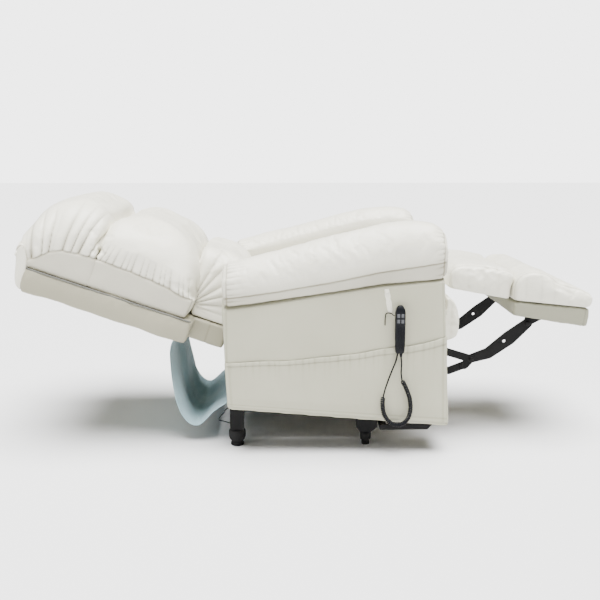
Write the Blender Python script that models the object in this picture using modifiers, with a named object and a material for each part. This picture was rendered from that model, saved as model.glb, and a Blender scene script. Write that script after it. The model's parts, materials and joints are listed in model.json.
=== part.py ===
"""Lift recliner chair, lying fully reclined with its legrest out.

Metres, +Z up, +X the way the sitter faces, +Y the sitter's left. The origin is on the floor under the
middle of the chair. A steel base stands on four glides. A lift frame and a pair of links carry the
upholstered body on the base, the backrest hinges on the body, and the legrest swings out on two sets
of links. Three linear actuators drive the lift, the backrest and the legrest.
"""

import math

import bmesh
import bpy
import numpy as np
from mathutils import Matrix, Vector

# ---------------------------------------------------------------- driving dimensions
GAP = 0.0005                # between pieces that rest on each other
SIDES = 16                  # sides of a round piece

SEAT_WIDTH = 0.49           # between the two arms
ARM_WIDTH = 0.157           # padded roll, across
PANEL_INSET = 0.017         # side panel behind the roll's widest point
ARM_TOP_FRONT = (0.385, 0.708)
ARM_TOP_REAR = (-0.243, 0.587)
ARM_SEAM_FRONT = (0.400, 0.590)
ARM_SEAM_REAR = (-0.262, 0.482)
PANEL_FOOT_FRONT = (0.427, 0.087)
PANEL_FOOT_REAR = (-0.248, 0.144)
SKIRT = 0.022               # thickness of the panel below the arm's core
CORE_FOOT = 0.172           # underside of the arm's core
ROLL_LIFT = 0.002           # roll above the panel's top seam

POCKET_TOP_REAR = (-0.253, 0.292)
POCKET_TOP_MID = (0.211, 0.330)
POCKET_TOP_FRONT = (0.410, 0.367)
POCKET_FOOT_RISE = 0.012
POCKET_DEPTH = 0.0065       # inside, between panel and sheet
POCKET_SHEET = 0.003
POCKET_HEM = 0.014

SEAT_TOP_REAR = 0.438
SEAT_TOP_FRONT = 0.525
SEAT_FOOT = 0.378
SEAT_REAR_X = -0.182
SEAT_FRONT_X = 0.436
DECK_THICK = 0.024
DECK_REAR_X = -0.117         # short of the rod that raises the backrest
SEAT_CLEAR = 0.0145         # between a seat piece and the arm beside it

PLATE = 0.005               # steel link plates
PLATE_GAP = 0.001
ARM_TO_PLATE = 0.0025
PIN_R = 0.006
PIN_CLEAR = 0.0008
TORQUE_TUBE_R = 0.0115
LUG_HALF_GAP = 0.0075        # inner faces of a pair of lugs, from the actuator's middle
LOWER_HOLE_R = 0.0073        # front hole of a lower link, with play round its pin
LINK_WIDTH = 0.024
MAIN_LINK_WIDTHS = [0.028, 0.036, 0.045, 0.031]   # at its pivot, its two bends and the foot pivot
TAIL_WIDTH = 0.026           # rear end of a main link
LIFT_ARM_WIDTH = 0.034
LEVER_WIDTH = 0.030

BACK_HINGE = (-0.150, 0.400)
BACK_ANGLE = math.radians(18.9)      # above level, when lying back
BACK_WIDTH = 0.66
BACK_FOOT = (-0.378, 0.333)          # lower corner of the wide shell
BACK_LENGTH = 0.521
SHELL_THICK = 0.073
CUSHION_SIDE = 0.008                 # the cushions stand back from the shell's sides
GROOVE = 0.006
LOWER_BACK_LENGTH = 0.112
LUMBAR_CLEAR = 0.014        # between the lumbar part and the arm beside it

LEG_DRIVE_PIVOT = (0.300, 0.330)
LEG_MAIN_PIVOT = (0.520, 0.262)
LEG_LOWER_PIVOT = (0.500, 0.240)
LEG_REAR_PIVOT = (0.2775, 0.3083)
FOOT_PIVOT = (0.697, 0.377)
PAD_WIDTH = 0.500
FOOT_BOARD_START = (0.646, 0.4265)
FOOT_BOARD_END = (0.8845, 0.3885)
FOOT_BOARD_THICK = 0.0450

LIFT_PIVOT = (0.120, 0.125)
BODY_PIVOT = (-0.220, 0.155)
LINK_PIVOT = (0.190, 0.172)
BODY_LINK_PIVOT = (-0.100, 0.240)
LIFT_LEVER = (0.050, 0.190)

MAIN_LINK_BENDS = [(0.574, 0.2790), (0.640, 0.3290)]
MAIN_LINK_HOLE = (0.624, 0.3190)
MAIN_LINK_HOLE_R = 0.005
LOWER_LINK_BENDS = [(0.395, 0.2240), (0.452, 0.2215)]
PAD_HINGE = (0.485, 0.455)

RAIL_STAND_OFF = 0.039      # middle of a base rail, outboard of the seat's side
TUBE = 0.028                # square steel tube
RAIL_Z = 0.127
REAR_FOOT_X = -0.224
FRONT_FOOT_X = 0.181
REAR_GLIDE_R = 0.0265
FRONT_GLIDE_R = 0.0175
REAR_GLIDE_HEIGHT = 0.050
FRONT_GLIDE_HEIGHT = 0.040
REAR_POST = 0.043
POST_PROUD = 0.003

BASE_ACTUATOR_PIVOT = (-0.190, 0.105)
LIFT_EYE = (0.018, 0.1787)
LEG_ACTUATOR_PIVOT = (-0.145, 0.220)
LEG_EYE = (0.330, 0.255)
BACK_ACTUATOR_PIVOT = (0.185, 0.262)
BACK_EYE = (-0.180, 0.300)
BACK_CROSS = (-0.228, 0.335)
FRONT_CROSS = (0.1975, 0.335)
LEG_ACTUATOR_Y = 0.100
BACK_ACTUATOR_Y = -0.100
LIFT_TUBE_END = 0.190       # distances along an actuator from its pivot
LIFT_ROD_START = 0.068
LEG_TUBE_END = 0.330
LEG_ROD_START = 0.200
BACK_TUBE_END = 0.300
BACK_ROD_START = 0.170
BORE_START = 0.060
ROD_R = 0.010
ACTUATOR_R = 0.018
ACTUATOR_BORE = 0.0115
ACTUATOR_MOTOR_R = 0.021
MOTOR_LENGTH = 0.085
GEARBOX_AT = 0.036
GEARBOX = (0.040, 0.046, 0.050)
TONGUE = 0.024              # height of the flat end of a rod or gearbox
TONGUE_LENGTH = 0.034
LUG = 0.004
LUG_WIDTH = 0.020

UNDER_BAR_REAR = 0.2185
UNDER_BAR_FRONT = 0.379
UNDER_BAR_Z = 0.0785
UNDER_BAR_INSET = 0.035      # ends of the bar, in from the side panels
UNDER_BAR_THICK = 0.015
CROSS_TUBE = 0.025          # square tube across the body

HANDSET_X = 0.268
HANDSET_TOP = 0.468
HANDSET_FOOT = 0.323
HANDSET_WIDTH = 0.030
HANDSET_THICK = 0.0205
BUTTON = (0.0085, 0.011)
BUTTON_PROUD = 0.0015
BUTTON_TRAVEL = 0.0012
BUTTON_CLEAR = 0.0004

CORD_R = 0.00275
CORD_STAND_OFF = 0.0215     # the free loop's plane, out from the side panel, clear of the pocket
COIL_R = 0.0074
SLING_WIDTH = 0.52
SLING_THICK = 0.003

# ---------------------------------------------------------------- worked out from them
ARM_INNER = SEAT_WIDTH / 2 + GAP
ARM_OUTER = SEAT_WIDTH / 2 + ARM_WIDTH
PANEL_Y = ARM_OUTER - PANEL_INSET
SEAT_HALF = SEAT_WIDTH / 2 - SEAT_CLEAR
LUMBAR_WIDTH = SEAT_WIDTH - 2 * LUMBAR_CLEAR
BASE_RAIL_Y = SEAT_WIDTH / 2 + RAIL_STAND_OFF
UNDER_BAR_HALF = PANEL_Y - UNDER_BAR_INSET


def layer(number):
    """Middle of the numbered steel plate, counted inwards from the arm."""
    return SEAT_WIDTH / 2 - ARM_TO_PLATE - PLATE / 2 - number * (PLATE + PLATE_GAP)


SIDE_LAYER = layer(0)          # the body's side plates
DRIVE_LAYER = layer(1)         # legrest drive links and back hinge plates
MAIN_LAYER = layer(2)          # legrest main links
LOWER_LAYER = layer(3)         # legrest lower links and foot brackets
LINK_LAYER = layer(4)          # lift links
LIFT_LAYER = layer(5)          # lift frame
BASE_LAYER = layer(6)          # base brackets
HALF = PLATE / 2
CORD_Y = -(PANEL_Y + CORD_STAND_OFF)
LEAD_ROUTE = [              # from the handset down to the curly stretch
    (0.2715, CORD_Y - 0.001, 0.3225), (0.2745, CORD_Y, 0.2900), (0.2740, CORD_Y, 0.2620),
    (0.2765, CORD_Y, 0.2420),
]
COIL_ROUTE = [              # the curly stretch, hanging in a loop
    (0.2768, CORD_Y, 0.2405), (0.2900, CORD_Y, 0.2140), (0.3010, CORD_Y, 0.1830),
    (0.3040, CORD_Y, 0.1500), (0.2960, CORD_Y, 0.1200), (0.2730, CORD_Y, 0.1010),
    (0.2440, CORD_Y, 0.1080), (0.2250, CORD_Y, 0.1350), (0.2195, CORD_Y, 0.1680),
    (0.2215, CORD_Y, 0.1900),
]
TAIL_ROUTE = [              # up behind the handset and into the gland
    (0.2217, CORD_Y, 0.1915), (0.2290, CORD_Y, 0.2200), (0.2430, CORD_Y + 0.0020, 0.2600),
    (0.2570, CORD_Y + 0.0050, 0.2950), (0.2630, CORD_Y + 0.0070, 0.3200),
    (0.2655, CORD_Y + 0.0075, 0.3380), (0.2660, CORD_Y + 0.0108, 0.3520),
    (0.2660, CORD_Y + 0.0147, 0.3670), (0.2660, CORD_Y + 0.0157, 0.3846),
]

# ---------------------------------------------------------------- scene set-up
for old in list(bpy.data.objects):
    bpy.data.objects.remove(old, do_unlink=True)

parts = bpy.data.collections.new("lift_recliner_chair")
bpy.context.scene.collection.children.link(parts)
cutters = bpy.data.collections.new("cutters")
bpy.context.scene.collection.children.link(cutters)


def new_material(name, colour, roughness, metallic=0.0):
    mat = bpy.data.materials.new(name)
    mat.use_nodes = True
    shader = mat.node_tree.nodes["Principled BSDF"]
    shader.inputs["Base Color"].default_value = (*colour, 1.0)
    shader.inputs["Roughness"].default_value = roughness
    shader.inputs["Metallic"].default_value = metallic
    return mat


LEATHER = ((0.80, 0.79, 0.74), 0.42)
PANEL_CLOTH = ((0.62, 0.63, 0.54), 0.50)
BOARD = ((0.33, 0.33, 0.27), 0.60)
STEEL = ((0.012, 0.012, 0.012), 0.45)
RUBBER = ((0.03, 0.03, 0.032), 0.80)
PLASTIC = ((0.014, 0.016, 0.019), 0.35)
KEYS = ((0.10, 0.11, 0.12), 0.40)
SHINY = ((0.60, 0.60, 0.62), 0.25)
LINER = ((0.48, 0.60, 0.64), 0.90)


def finish(obj, name, look, group=parts):
    """Name the object, give it its own material and put it in its collection."""
    obj.name = name
    obj.data.name = name
    metallic = 1.0 if look is SHINY else 0.0
    obj.data.materials.clear()
    obj.data.materials.append(new_material(name, look[0], look[1], metallic))
    for owner in list(obj.users_collection):
        owner.objects.unlink(obj)
    group.objects.link(obj)
    return obj


def mesh_object(bm, name):
    bmesh.ops.recalc_face_normals(bm, faces=bm.faces)
    mesh = bpy.data.meshes.new(name)
    bm.to_mesh(mesh)
    bm.free()
    obj = bpy.data.objects.new(name, mesh)
    parts.objects.link(obj)
    return obj


def bevel(obj, width, segments=2, angle=40):
    """Rounded edges, left live on the object."""
    mod = obj.modifiers.new("round", "BEVEL")
    mod.width = width
    mod.segments = segments
    mod.limit_method = "ANGLE"
    mod.angle_limit = math.radians(angle)
    return obj


def box(name, look, centre, size, turn=0.0, round_by=0.0, segments=1):
    """Block with its size in its mesh, turned about +Y."""
    bm = bmesh.new()
    bmesh.ops.create_cube(bm, size=1.0, matrix=Matrix.Diagonal((*size, 1.0)))
    obj = finish(mesh_object(bm, name), name, look)
    obj.location = centre
    obj.rotation_euler = (0.0, turn, 0.0)
    if round_by:
        bevel(obj, round_by, segments)
    return obj


def cylinder_mesh(start, end, r_start, r_end=None, sides=SIDES):
    """Bmesh of a cylinder or cone from start to end, in world places."""
    start, end = Vector(start), Vector(end)
    bm = bmesh.new()
    bmesh.ops.create_cone(
        bm, cap_ends=True, segments=sides, radius1=r_start,
        radius2=r_start if r_end is None else r_end, depth=(end - start).length,
    )
    turn = (end - start).to_track_quat("Z", "X").to_matrix().to_4x4()
    bmesh.ops.transform(bm, matrix=Matrix.Translation((start + end) / 2) @ turn, verts=bm.verts)
    return bm


def cylinder(name, look, start, end, r_start, r_end=None, sides=SIDES):
    obj = finish(mesh_object(cylinder_mesh(start, end, r_start, r_end, sides), name), name, look)
    obj.data.shade_smooth()
    obj.data.set_sharp_from_angle(angle=math.radians(40))
    return obj


def outline(points, y, width, holes=()):
    """Mesh object of a flat outline in the XZ plane, width thick about y, with round holes (x, z, r)."""
    curve = bpy.data.curves.new("outline", "CURVE")
    curve.dimensions = "2D"
    curve.fill_mode = "BOTH"
    curve.extrude = width / 2
    rings = [points]
    for hx, hz, r in holes:
        steps = [2 * math.pi * i / SIDES for i in range(SIDES)]
        rings.append([(hx + r * math.cos(a), hz + r * math.sin(a)) for a in steps])
    for ring in rings:
        spline = curve.splines.new("POLY")
        spline.points.add(len(ring) - 1)
        spline.use_cyclic_u = True
        for point, (px, pz) in zip(spline.points, ring):
            point.co = (px, pz, 0.0, 1.0)
    flat = bpy.data.objects.new("outline", curve)
    flat.rotation_euler = (math.pi / 2, 0.0, 0.0)
    flat.location = (0.0, y, 0.0)
    return to_mesh(flat)


def to_mesh(curve_obj):
    """Mesh object from a curve: its caps welded, its place taken into the mesh."""
    parts.objects.link(curve_obj)
    bpy.context.view_layer.update()
    graph = bpy.context.evaluated_depsgraph_get()
    mesh = bpy.data.meshes.new_from_object(curve_obj.evaluated_get(graph))
    bm = bmesh.new()
    bm.from_mesh(mesh)
    bmesh.ops.remove_doubles(bm, verts=bm.verts, dist=0.00005)
    bmesh.ops.transform(bm, matrix=curve_obj.matrix_world, verts=bm.verts)
    bmesh.ops.recalc_face_normals(bm, faces=bm.faces)
    bm.to_mesh(mesh)
    bm.free()
    bpy.data.objects.remove(curve_obj, do_unlink=True)
    obj = bpy.data.objects.new("outline", mesh)
    parts.objects.link(obj)
    return obj


def prism(name, look, points, y, width, holes=(), round_by=0.0, segments=2, angle=40):
    obj = finish(outline(points, y, width, holes), name, look)
    if round_by:
        bevel(obj, round_by, segments, angle)
    return obj


def add_boolean(obj, other, operation):
    """Live EXACT boolean; the other object becomes a hidden cutter."""
    other.hide_render = True
    other.display_type = "WIRE"
    for owner in list(other.users_collection):
        owner.objects.unlink(other)
    cutters.objects.link(other)
    mod = obj.modifiers.new(operation.lower(), "BOOLEAN")
    mod.operation = operation
    mod.solver = "EXACT"
    mod.object = other
    return obj


def union_bm(obj, bm):
    """Join a bmesh solid to the object."""
    return add_boolean(obj, mesh_object(bm, obj.name + "_joined"), "UNION")


def pin(obj, place, y_from, y_to, r=PIN_R):
    """Weld a round pin to the object, standing from y_from to y_to at (x, z)."""
    x, z = place
    return union_bm(obj, cylinder_mesh((x, y_from, z), (x, y_to, z), r))


def weld_box(obj, centre, size, turn=0.0):
    bm = bmesh.new()
    place = Matrix.Translation(centre) @ Matrix.Rotation(turn, 4, "Y") @ Matrix.Diagonal((*size, 1.0))
    bmesh.ops.create_cube(bm, size=1.0, matrix=place)
    return union_bm(obj, bm)


def cut_box(obj, centre, size, turn=0.0):
    bm = bmesh.new()
    place = Matrix.Translation(centre) @ Matrix.Rotation(turn, 4, "Y") @ Matrix.Diagonal((*size, 1.0))
    bmesh.ops.create_cube(bm, size=1.0, matrix=place)
    return add_boolean(obj, mesh_object(bm, obj.name + "_cut"), "DIFFERENCE")


def ribbon(route, width, round_steps=6):
    """Closed outline of a link along the route, with one width or one for each place, round at both ends."""
    pts = [np.array(p, float) for p in route]
    halves = [w / 2 for w in (width if isinstance(width, list) else [width] * len(pts))]
    left, right = [], []
    for i, p in enumerate(pts):
        before = pts[i] - pts[i - 1] if i else pts[1] - pts[0]
        after = pts[i + 1] - pts[i] if i + 1 < len(pts) else pts[-1] - pts[-2]
        before, after = before / np.linalg.norm(before), after / np.linalg.norm(after)
        mid = (before + after) / np.linalg.norm(before + after)
        side = np.array([-mid[1], mid[0]]) * halves[i] / max(float(mid @ after), 0.5)
        left.append(p + side)
        right.append(p - side)
    ring = []
    start, end = pts[1] - pts[0], pts[-1] - pts[-2]
    for place, along, half in ((pts[0], -start, halves[0]), (pts[-1], end, halves[-1])):
        base = math.atan2(along[1], along[0])
        turns = [base + math.pi * (k / round_steps - 0.5) for k in range(round_steps + 1)]
        arc = [place + half * np.array([math.cos(a), math.sin(a)]) for a in turns]
        ring += arc + (right[1:-1] if place is pts[0] else left[-2:0:-1])
    return [tuple(p) for p in ring]


def along_back(distance, height):
    """(x, z) of a place on the lying backrest: distance from the shell's lower corner, height off it."""
    c, s = math.cos(BACK_ANGLE), math.sin(BACK_ANGLE)
    return BACK_FOOT[0] - distance * c + height * s, BACK_FOOT[1] + distance * s + height * c


def lofted_cushion(name, look, sections, pivot=None):
    """Soft solid through rings of (x, z) points, one ring for each y."""
    bm = bmesh.new()
    rings = [[bm.verts.new((x, y, z)) for x, z in ring] for y, ring in sections]
    for one, two in zip(rings, rings[1:]):
        for i in range(len(one)):
            j = (i + 1) % len(one)
            bm.faces.new((one[i], one[j], two[j], two[i]))
    bm.faces.new(rings[0][::-1])
    bm.faces.new(rings[-1])
    obj = finish(mesh_object(bm, name), name, look)
    if pivot:
        set_origin(obj, pivot)
    return obj


def set_origin(obj, pivot):
    """Move the object's origin to (x, z) on its joint's axis without moving the piece."""
    shift = Vector((pivot[0], 0.0, pivot[1])) - obj.location
    obj.data.transform(Matrix.Translation(obj.rotation_euler.to_matrix().inverted() @ -shift).to_4x4())
    obj.location += shift
    return obj


def drawn_in(ring, along, height):
    """The ring scaled about its flat foot, the line through its first two points."""
    foot, other = np.array(ring[0], float), np.array(ring[1], float)
    run = (other - foot) / np.linalg.norm(other - foot)
    rise = np.array([-run[1], run[0]])
    middle = foot + run * float(np.mean([(np.array(p) - foot) @ run for p in ring]))
    drawn = []
    for p in ring:
        away = np.array(p, float) - middle
        drawn.append(tuple(middle + run * (away @ run) * along + rise * (away @ rise) * height))
    return drawn


def padded_piece(name, ring, half, edge, pivot, fullness=(0.93, 0.80)):
    """Padded piece across the chair: full in the middle, drawn in towards both ends."""
    near, ends = drawn_in(ring, 0.997, fullness[0]), drawn_in(ring, 0.985, fullness[1])
    sections = [(-half, ends), (-half + edge, near), (-half * 0.55, ring), (half * 0.55, ring),
                (half - edge, near), (half, ends)]
    return lofted_cushion(name, LEATHER, sections, pivot)


def sides():
    """The sitter's right side, at -Y, then the left."""
    return (("right", -1), ("left", 1))


# ---------------------------------------------------------------- base
def make_base():
    cross_half = BASE_RAIL_Y - TUBE / 2 - POST_PROUD - GAP
    for side, s in sides():
        y = s * BASE_RAIL_Y
        rail = box(
            f"base_rail_{side}", STEEL, ((REAR_FOOT_X + FRONT_FOOT_X) / 2, y, RAIL_Z),
            (FRONT_FOOT_X - REAR_FOOT_X + REAR_POST, TUBE, TUBE),
        )
        post_foot = REAR_GLIDE_HEIGHT + GAP
        post_top = RAIL_Z + TUBE / 2 - 0.004
        weld_box(rail, (REAR_FOOT_X, y, (post_foot + post_top) / 2),
                 (REAR_POST, TUBE + 2 * POST_PROUD, post_top - post_foot))
        bracket = [
            (FRONT_FOOT_X - 0.016, FRONT_GLIDE_HEIGHT + GAP),
            (FRONT_FOOT_X + 0.014, FRONT_GLIDE_HEIGHT + GAP),
            (FRONT_FOOT_X + 0.036, FRONT_GLIDE_HEIGHT + 0.018), (FRONT_FOOT_X + 0.036, RAIL_Z - 0.002),
            (FRONT_FOOT_X - 0.030, RAIL_Z - 0.002), (FRONT_FOOT_X - 0.030, FRONT_GLIDE_HEIGHT + 0.018),
        ]
        add_boolean(rail, outline(bracket, y, TUBE - 0.004), "UNION")
        cylinder(f"rear_glide_{side}", RUBBER, (REAR_FOOT_X, y, 0.0), (REAR_FOOT_X, y, REAR_GLIDE_HEIGHT),
                 REAR_GLIDE_R - 0.006, REAR_GLIDE_R)
        cylinder(f"front_glide_{side}", RUBBER, (FRONT_FOOT_X, y, 0.0),
                 (FRONT_FOOT_X, y, FRONT_GLIDE_HEIGHT), FRONT_GLIDE_R - 0.005, FRONT_GLIDE_R)
    rear_z = RAIL_Z - 0.016
    rear_tube = box("base_rear_tube", STEEL, (REAR_FOOT_X + 0.004, 0.0, rear_z),
                    (TUBE, 2 * cross_half, TUBE))
    for s in (-1, 1):
        y = s * (LUG_HALF_GAP + LUG / 2)
        weld_box(rear_tube, (REAR_FOOT_X + 0.026, y, rear_z), (0.030, LUG, 0.026))
    front_x, front_z = LIFT_PIVOT[0] + 0.038, LIFT_PIVOT[1] - 0.012
    front_tube = box("base_front_tube", STEEL, (front_x, 0.0, front_z), (TUBE, 2 * cross_half, TUBE))
    bracket = [
        (LIFT_PIVOT[0] - 0.020, LIFT_PIVOT[1] - 0.010), (LIFT_PIVOT[0] - 0.004, front_z - TUBE / 2),
        (front_x + TUBE / 2, front_z - TUBE / 2), (LINK_PIVOT[0] + 0.016, LINK_PIVOT[1] - 0.012),
        (LINK_PIVOT[0] + 0.016, LINK_PIVOT[1] + 0.012), (LINK_PIVOT[0] - 0.012, LINK_PIVOT[1] + 0.017),
        (LIFT_PIVOT[0] - 0.018, LIFT_PIVOT[1] + 0.018),
    ]
    for _, s in sides():
        y = s * BASE_LAYER
        add_boolean(front_tube, outline(bracket, y, PLATE), "UNION")
        pin(front_tube, LIFT_PIVOT, y, s * (LIFT_LAYER + HALF))
        pin(front_tube, LINK_PIVOT, y, s * (LINK_LAYER + HALF))


# ---------------------------------------------------------------- lift frame and links
def make_lift():
    arm_route = [LIFT_PIVOT, BODY_PIVOT]
    tube = cylinder("lift_frame", STEEL, (LIFT_LEVER[0], -LIFT_LAYER, LIFT_LEVER[1]),
                    (LIFT_LEVER[0], LIFT_LAYER, LIFT_LEVER[1]), TORQUE_TUBE_R)
    for _, s in sides():
        y = s * LIFT_LAYER
        holes = ((*LIFT_PIVOT, PIN_R + PIN_CLEAR), (*BODY_PIVOT, PIN_R + PIN_CLEAR))
        add_boolean(tube, outline(ribbon(arm_route, LIFT_ARM_WIDTH), y, PLATE, holes), "UNION")
        lever_start = np.array(LIFT_PIVOT) + 0.3 * (np.array(LIFT_LEVER) - np.array(LIFT_PIVOT))
        add_boolean(tube, outline(ribbon([tuple(lever_start), LIFT_LEVER], LEVER_WIDTH), y, PLATE), "UNION")
        link = prism(f"lift_link_{side_name(s)}", STEEL, ribbon([LINK_PIVOT, BODY_LINK_PIVOT], LINK_WIDTH),
                     s * LINK_LAYER, PLATE,
                     ((*LINK_PIVOT, PIN_R + PIN_CLEAR), (*BODY_LINK_PIVOT, PIN_R + PIN_CLEAR)))
        set_origin(link, LINK_PIVOT)
    lug_pair(tube, LIFT_LEVER, 0.0, LIFT_EYE)
    set_origin(tube, LIFT_PIVOT)


def side_name(s):
    return "right" if s < 0 else "left"


def lug_pair(obj, root, y, eye):
    """Two ears welded to the object at root, reaching either side of an actuator's eye."""
    for s in (-1, 1):
        ear = ribbon([root, eye], LUG_WIDTH)
        add_boolean(obj, outline(ear, y + s * (LUG_HALF_GAP + LUG / 2), LUG), "UNION")


# ---------------------------------------------------------------- actuators


def make_actuator(name, pivot, eye, y, tube_end, rod_start, motor_way):
    """Tube with its gearbox and motor on its pivot, and the rod that slides in it up to its eye."""
    start, end = Vector((pivot[0], y, pivot[1])), Vector((eye[0], y, eye[1]))
    way = (end - start).normalized()
    turn = math.atan2(-way.z, way.x)
    tongue = 2 * LUG_HALF_GAP - 0.002
    gearbox = start + way * GEARBOX_AT
    body = cylinder(f"{name}_actuator", PLASTIC, start + way * 0.030, start + way * tube_end, ACTUATOR_R)
    bore = cylinder_mesh(start + way * BORE_START, start + way * (tube_end + 0.010), ACTUATOR_BORE)
    add_boolean(body, mesh_object(bore, "bore"), "DIFFERENCE")
    weld_box(body, gearbox, GEARBOX, turn)
    weld_box(body, start + way * 0.006, (0.032, tongue, TONGUE), turn)
    motor = cylinder_mesh(gearbox, gearbox + Vector((0.0, motor_way * MOTOR_LENGTH, 0.0)), ACTUATOR_MOTOR_R)
    union_bm(body, motor)
    set_origin(body, pivot)
    length = (end - start).length
    rod = cylinder(f"{name}_rod", SHINY, start + way * rod_start, start + way * (length - 0.024), ROD_R)
    weld_box(rod, end - way * 0.011, (TONGUE_LENGTH, tongue, TONGUE), turn)
    set_origin(rod, eye)


def make_actuators():
    make_actuator("lift", BASE_ACTUATOR_PIVOT, LIFT_EYE, 0.0, LIFT_TUBE_END, LIFT_ROD_START, 1)
    make_actuator("legrest", LEG_ACTUATOR_PIVOT, LEG_EYE, LEG_ACTUATOR_Y, LEG_TUBE_END, LEG_ROD_START, 1)
    make_actuator("backrest", BACK_ACTUATOR_PIVOT, BACK_EYE, BACK_ACTUATOR_Y,
                  BACK_TUBE_END, BACK_ROD_START, -1)


# ---------------------------------------------------------------- chair body: steel
def make_body_steel():
    plate_points = [
        (-0.242, 0.140), (-0.200, 0.136), (-0.075, 0.205), (0.290, 0.196), (0.330, 0.215), (0.345, 0.300),
        (0.325, 0.3445), (0.270, 0.3445), (0.182, 0.350), (0.166, 0.345), (0.150, 0.290),
        (-0.050, 0.290), (-0.118, 0.330), (-0.122, 0.414),
        (-0.140, 0.428), (-0.165, 0.428), (-0.180, 0.412), (-0.196, 0.290), (-0.245, 0.172),
    ]
    for side, s in sides():
        plate = prism(f"side_plate_{side}", STEEL, plate_points, s * SIDE_LAYER, PLATE)
        pin(plate, BODY_PIVOT, s * SIDE_LAYER, s * (LIFT_LAYER - HALF))
        pin(plate, BODY_LINK_PIVOT, s * SIDE_LAYER, s * (LINK_LAYER + HALF + GAP))
        pin(plate, LEG_DRIVE_PIVOT, s * SIDE_LAYER, s * (DRIVE_LAYER - HALF))
        pin(plate, LEG_REAR_PIVOT, s * SIDE_LAYER, s * (LOWER_LAYER - HALF))
        pin(plate, BACK_HINGE, s * SIDE_LAYER, s * (DRIVE_LAYER - HALF))
    cross_half = SIDE_LAYER - HALF - GAP
    rear = box("body_rear_tube", STEEL, (LEG_ACTUATOR_PIVOT[0] - 0.034, 0.0, LEG_ACTUATOR_PIVOT[1] - 0.004),
               (CROSS_TUBE, 2 * cross_half, CROSS_TUBE))
    front = box("body_front_tube", STEEL, (FRONT_CROSS[0], 0.0, FRONT_CROSS[1]),
                (CROSS_TUBE, 2 * cross_half, CROSS_TUBE))
    lug_pair(rear, (LEG_ACTUATOR_PIVOT[0] - 0.032, LEG_ACTUATOR_PIVOT[1]), LEG_ACTUATOR_Y,
             LEG_ACTUATOR_PIVOT)
    lug_pair(front, FRONT_CROSS, BACK_ACTUATOR_Y, BACK_ACTUATOR_PIVOT)
    under = box("under_bar", STEEL, (UNDER_BAR_REAR + 0.011, 0.0, UNDER_BAR_Z),
                (0.022, 2 * UNDER_BAR_HALF, 0.014), round_by=0.002)
    low, high = UNDER_BAR_Z - UNDER_BAR_THICK / 2, UNDER_BAR_Z + UNDER_BAR_THICK / 2
    runner = [
        (UNDER_BAR_REAR, low), (UNDER_BAR_FRONT - 0.014, low), (UNDER_BAR_FRONT, high),
        (UNDER_BAR_REAR, high),
    ]
    for s in (-1, 1):
        add_boolean(under, outline(runner, s * (UNDER_BAR_HALF + 0.004), 0.012), "UNION")
    box("control_box", PLASTIC, (0.010, 0.005, 0.312), (0.130, 0.110, 0.052), round_by=0.005)


# ---------------------------------------------------------------- chair body: upholstery
def make_arms():
    box_points = [ARM_SEAM_REAR, PANEL_FOOT_REAR, PANEL_FOOT_FRONT, ARM_SEAM_FRONT]
    roll_points = [
        (ARM_SEAM_REAR[0], ARM_SEAM_REAR[1] + ROLL_LIFT),
        (ARM_SEAM_FRONT[0], ARM_SEAM_FRONT[1] + ROLL_LIFT),
        (ARM_SEAM_FRONT[0] + 0.013, ARM_SEAM_FRONT[1] + 0.030),
        (ARM_TOP_FRONT[0] + 0.020, ARM_TOP_FRONT[1] - 0.020),
        ARM_TOP_FRONT, (ARM_TOP_FRONT[0] - 0.060, ARM_TOP_FRONT[1]), ARM_TOP_REAR,
    ]
    for side, s in sides():
        core = prism(f"arm_{side}", PANEL_CLOTH, box_points, s * (ARM_INNER + PANEL_Y) / 2,
                     PANEL_Y - ARM_INNER)
        inner_cut = PANEL_Y - SKIRT - (ARM_INNER - 0.02)
        low, high = -0.05, CORE_FOOT
        cut_box(core, (ARM_SEAM_REAR[0] + 0.315, s * (ARM_INNER - 0.02 + inner_cut / 2), (low + high) / 2),
                (0.660, inner_cut, high - low))
        roll = prism(f"arm_roll_{side}", LEATHER, roll_points, s * (ARM_INNER + ARM_OUTER) / 2,
                     ARM_OUTER - ARM_INNER, round_by=0.034, segments=3, angle=50)
        roll.modifiers["round"].use_clamp_overlap = True
    pocket_points = [
        POCKET_TOP_REAR, (PANEL_FOOT_REAR[0] + 0.004, PANEL_FOOT_REAR[1] + POCKET_FOOT_RISE),
        (PANEL_FOOT_FRONT[0] - 0.006, PANEL_FOOT_FRONT[1] + POCKET_FOOT_RISE), POCKET_TOP_FRONT,
        POCKET_TOP_MID,
    ]
    thick = POCKET_DEPTH + POCKET_SHEET
    pocket = prism("side_pocket", PANEL_CLOTH, pocket_points, -(PANEL_Y + GAP + thick / 2), thick)
    inside = [
        (POCKET_TOP_REAR[0] + POCKET_HEM, POCKET_TOP_REAR[1] + 0.10),
        (PANEL_FOOT_REAR[0] + 0.004 + POCKET_HEM, PANEL_FOOT_REAR[1] + POCKET_FOOT_RISE + POCKET_HEM),
        (PANEL_FOOT_FRONT[0] - 0.006 - POCKET_HEM, PANEL_FOOT_FRONT[1] + POCKET_FOOT_RISE + POCKET_HEM),
        (POCKET_TOP_FRONT[0] - POCKET_HEM, POCKET_TOP_FRONT[1] + 0.10),
    ]
    hollow = outline(inside, -(PANEL_Y + GAP + POCKET_DEPTH / 2 - 0.005), POCKET_DEPTH + 0.010)
    add_boolean(pocket, hollow, "DIFFERENCE")


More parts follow.
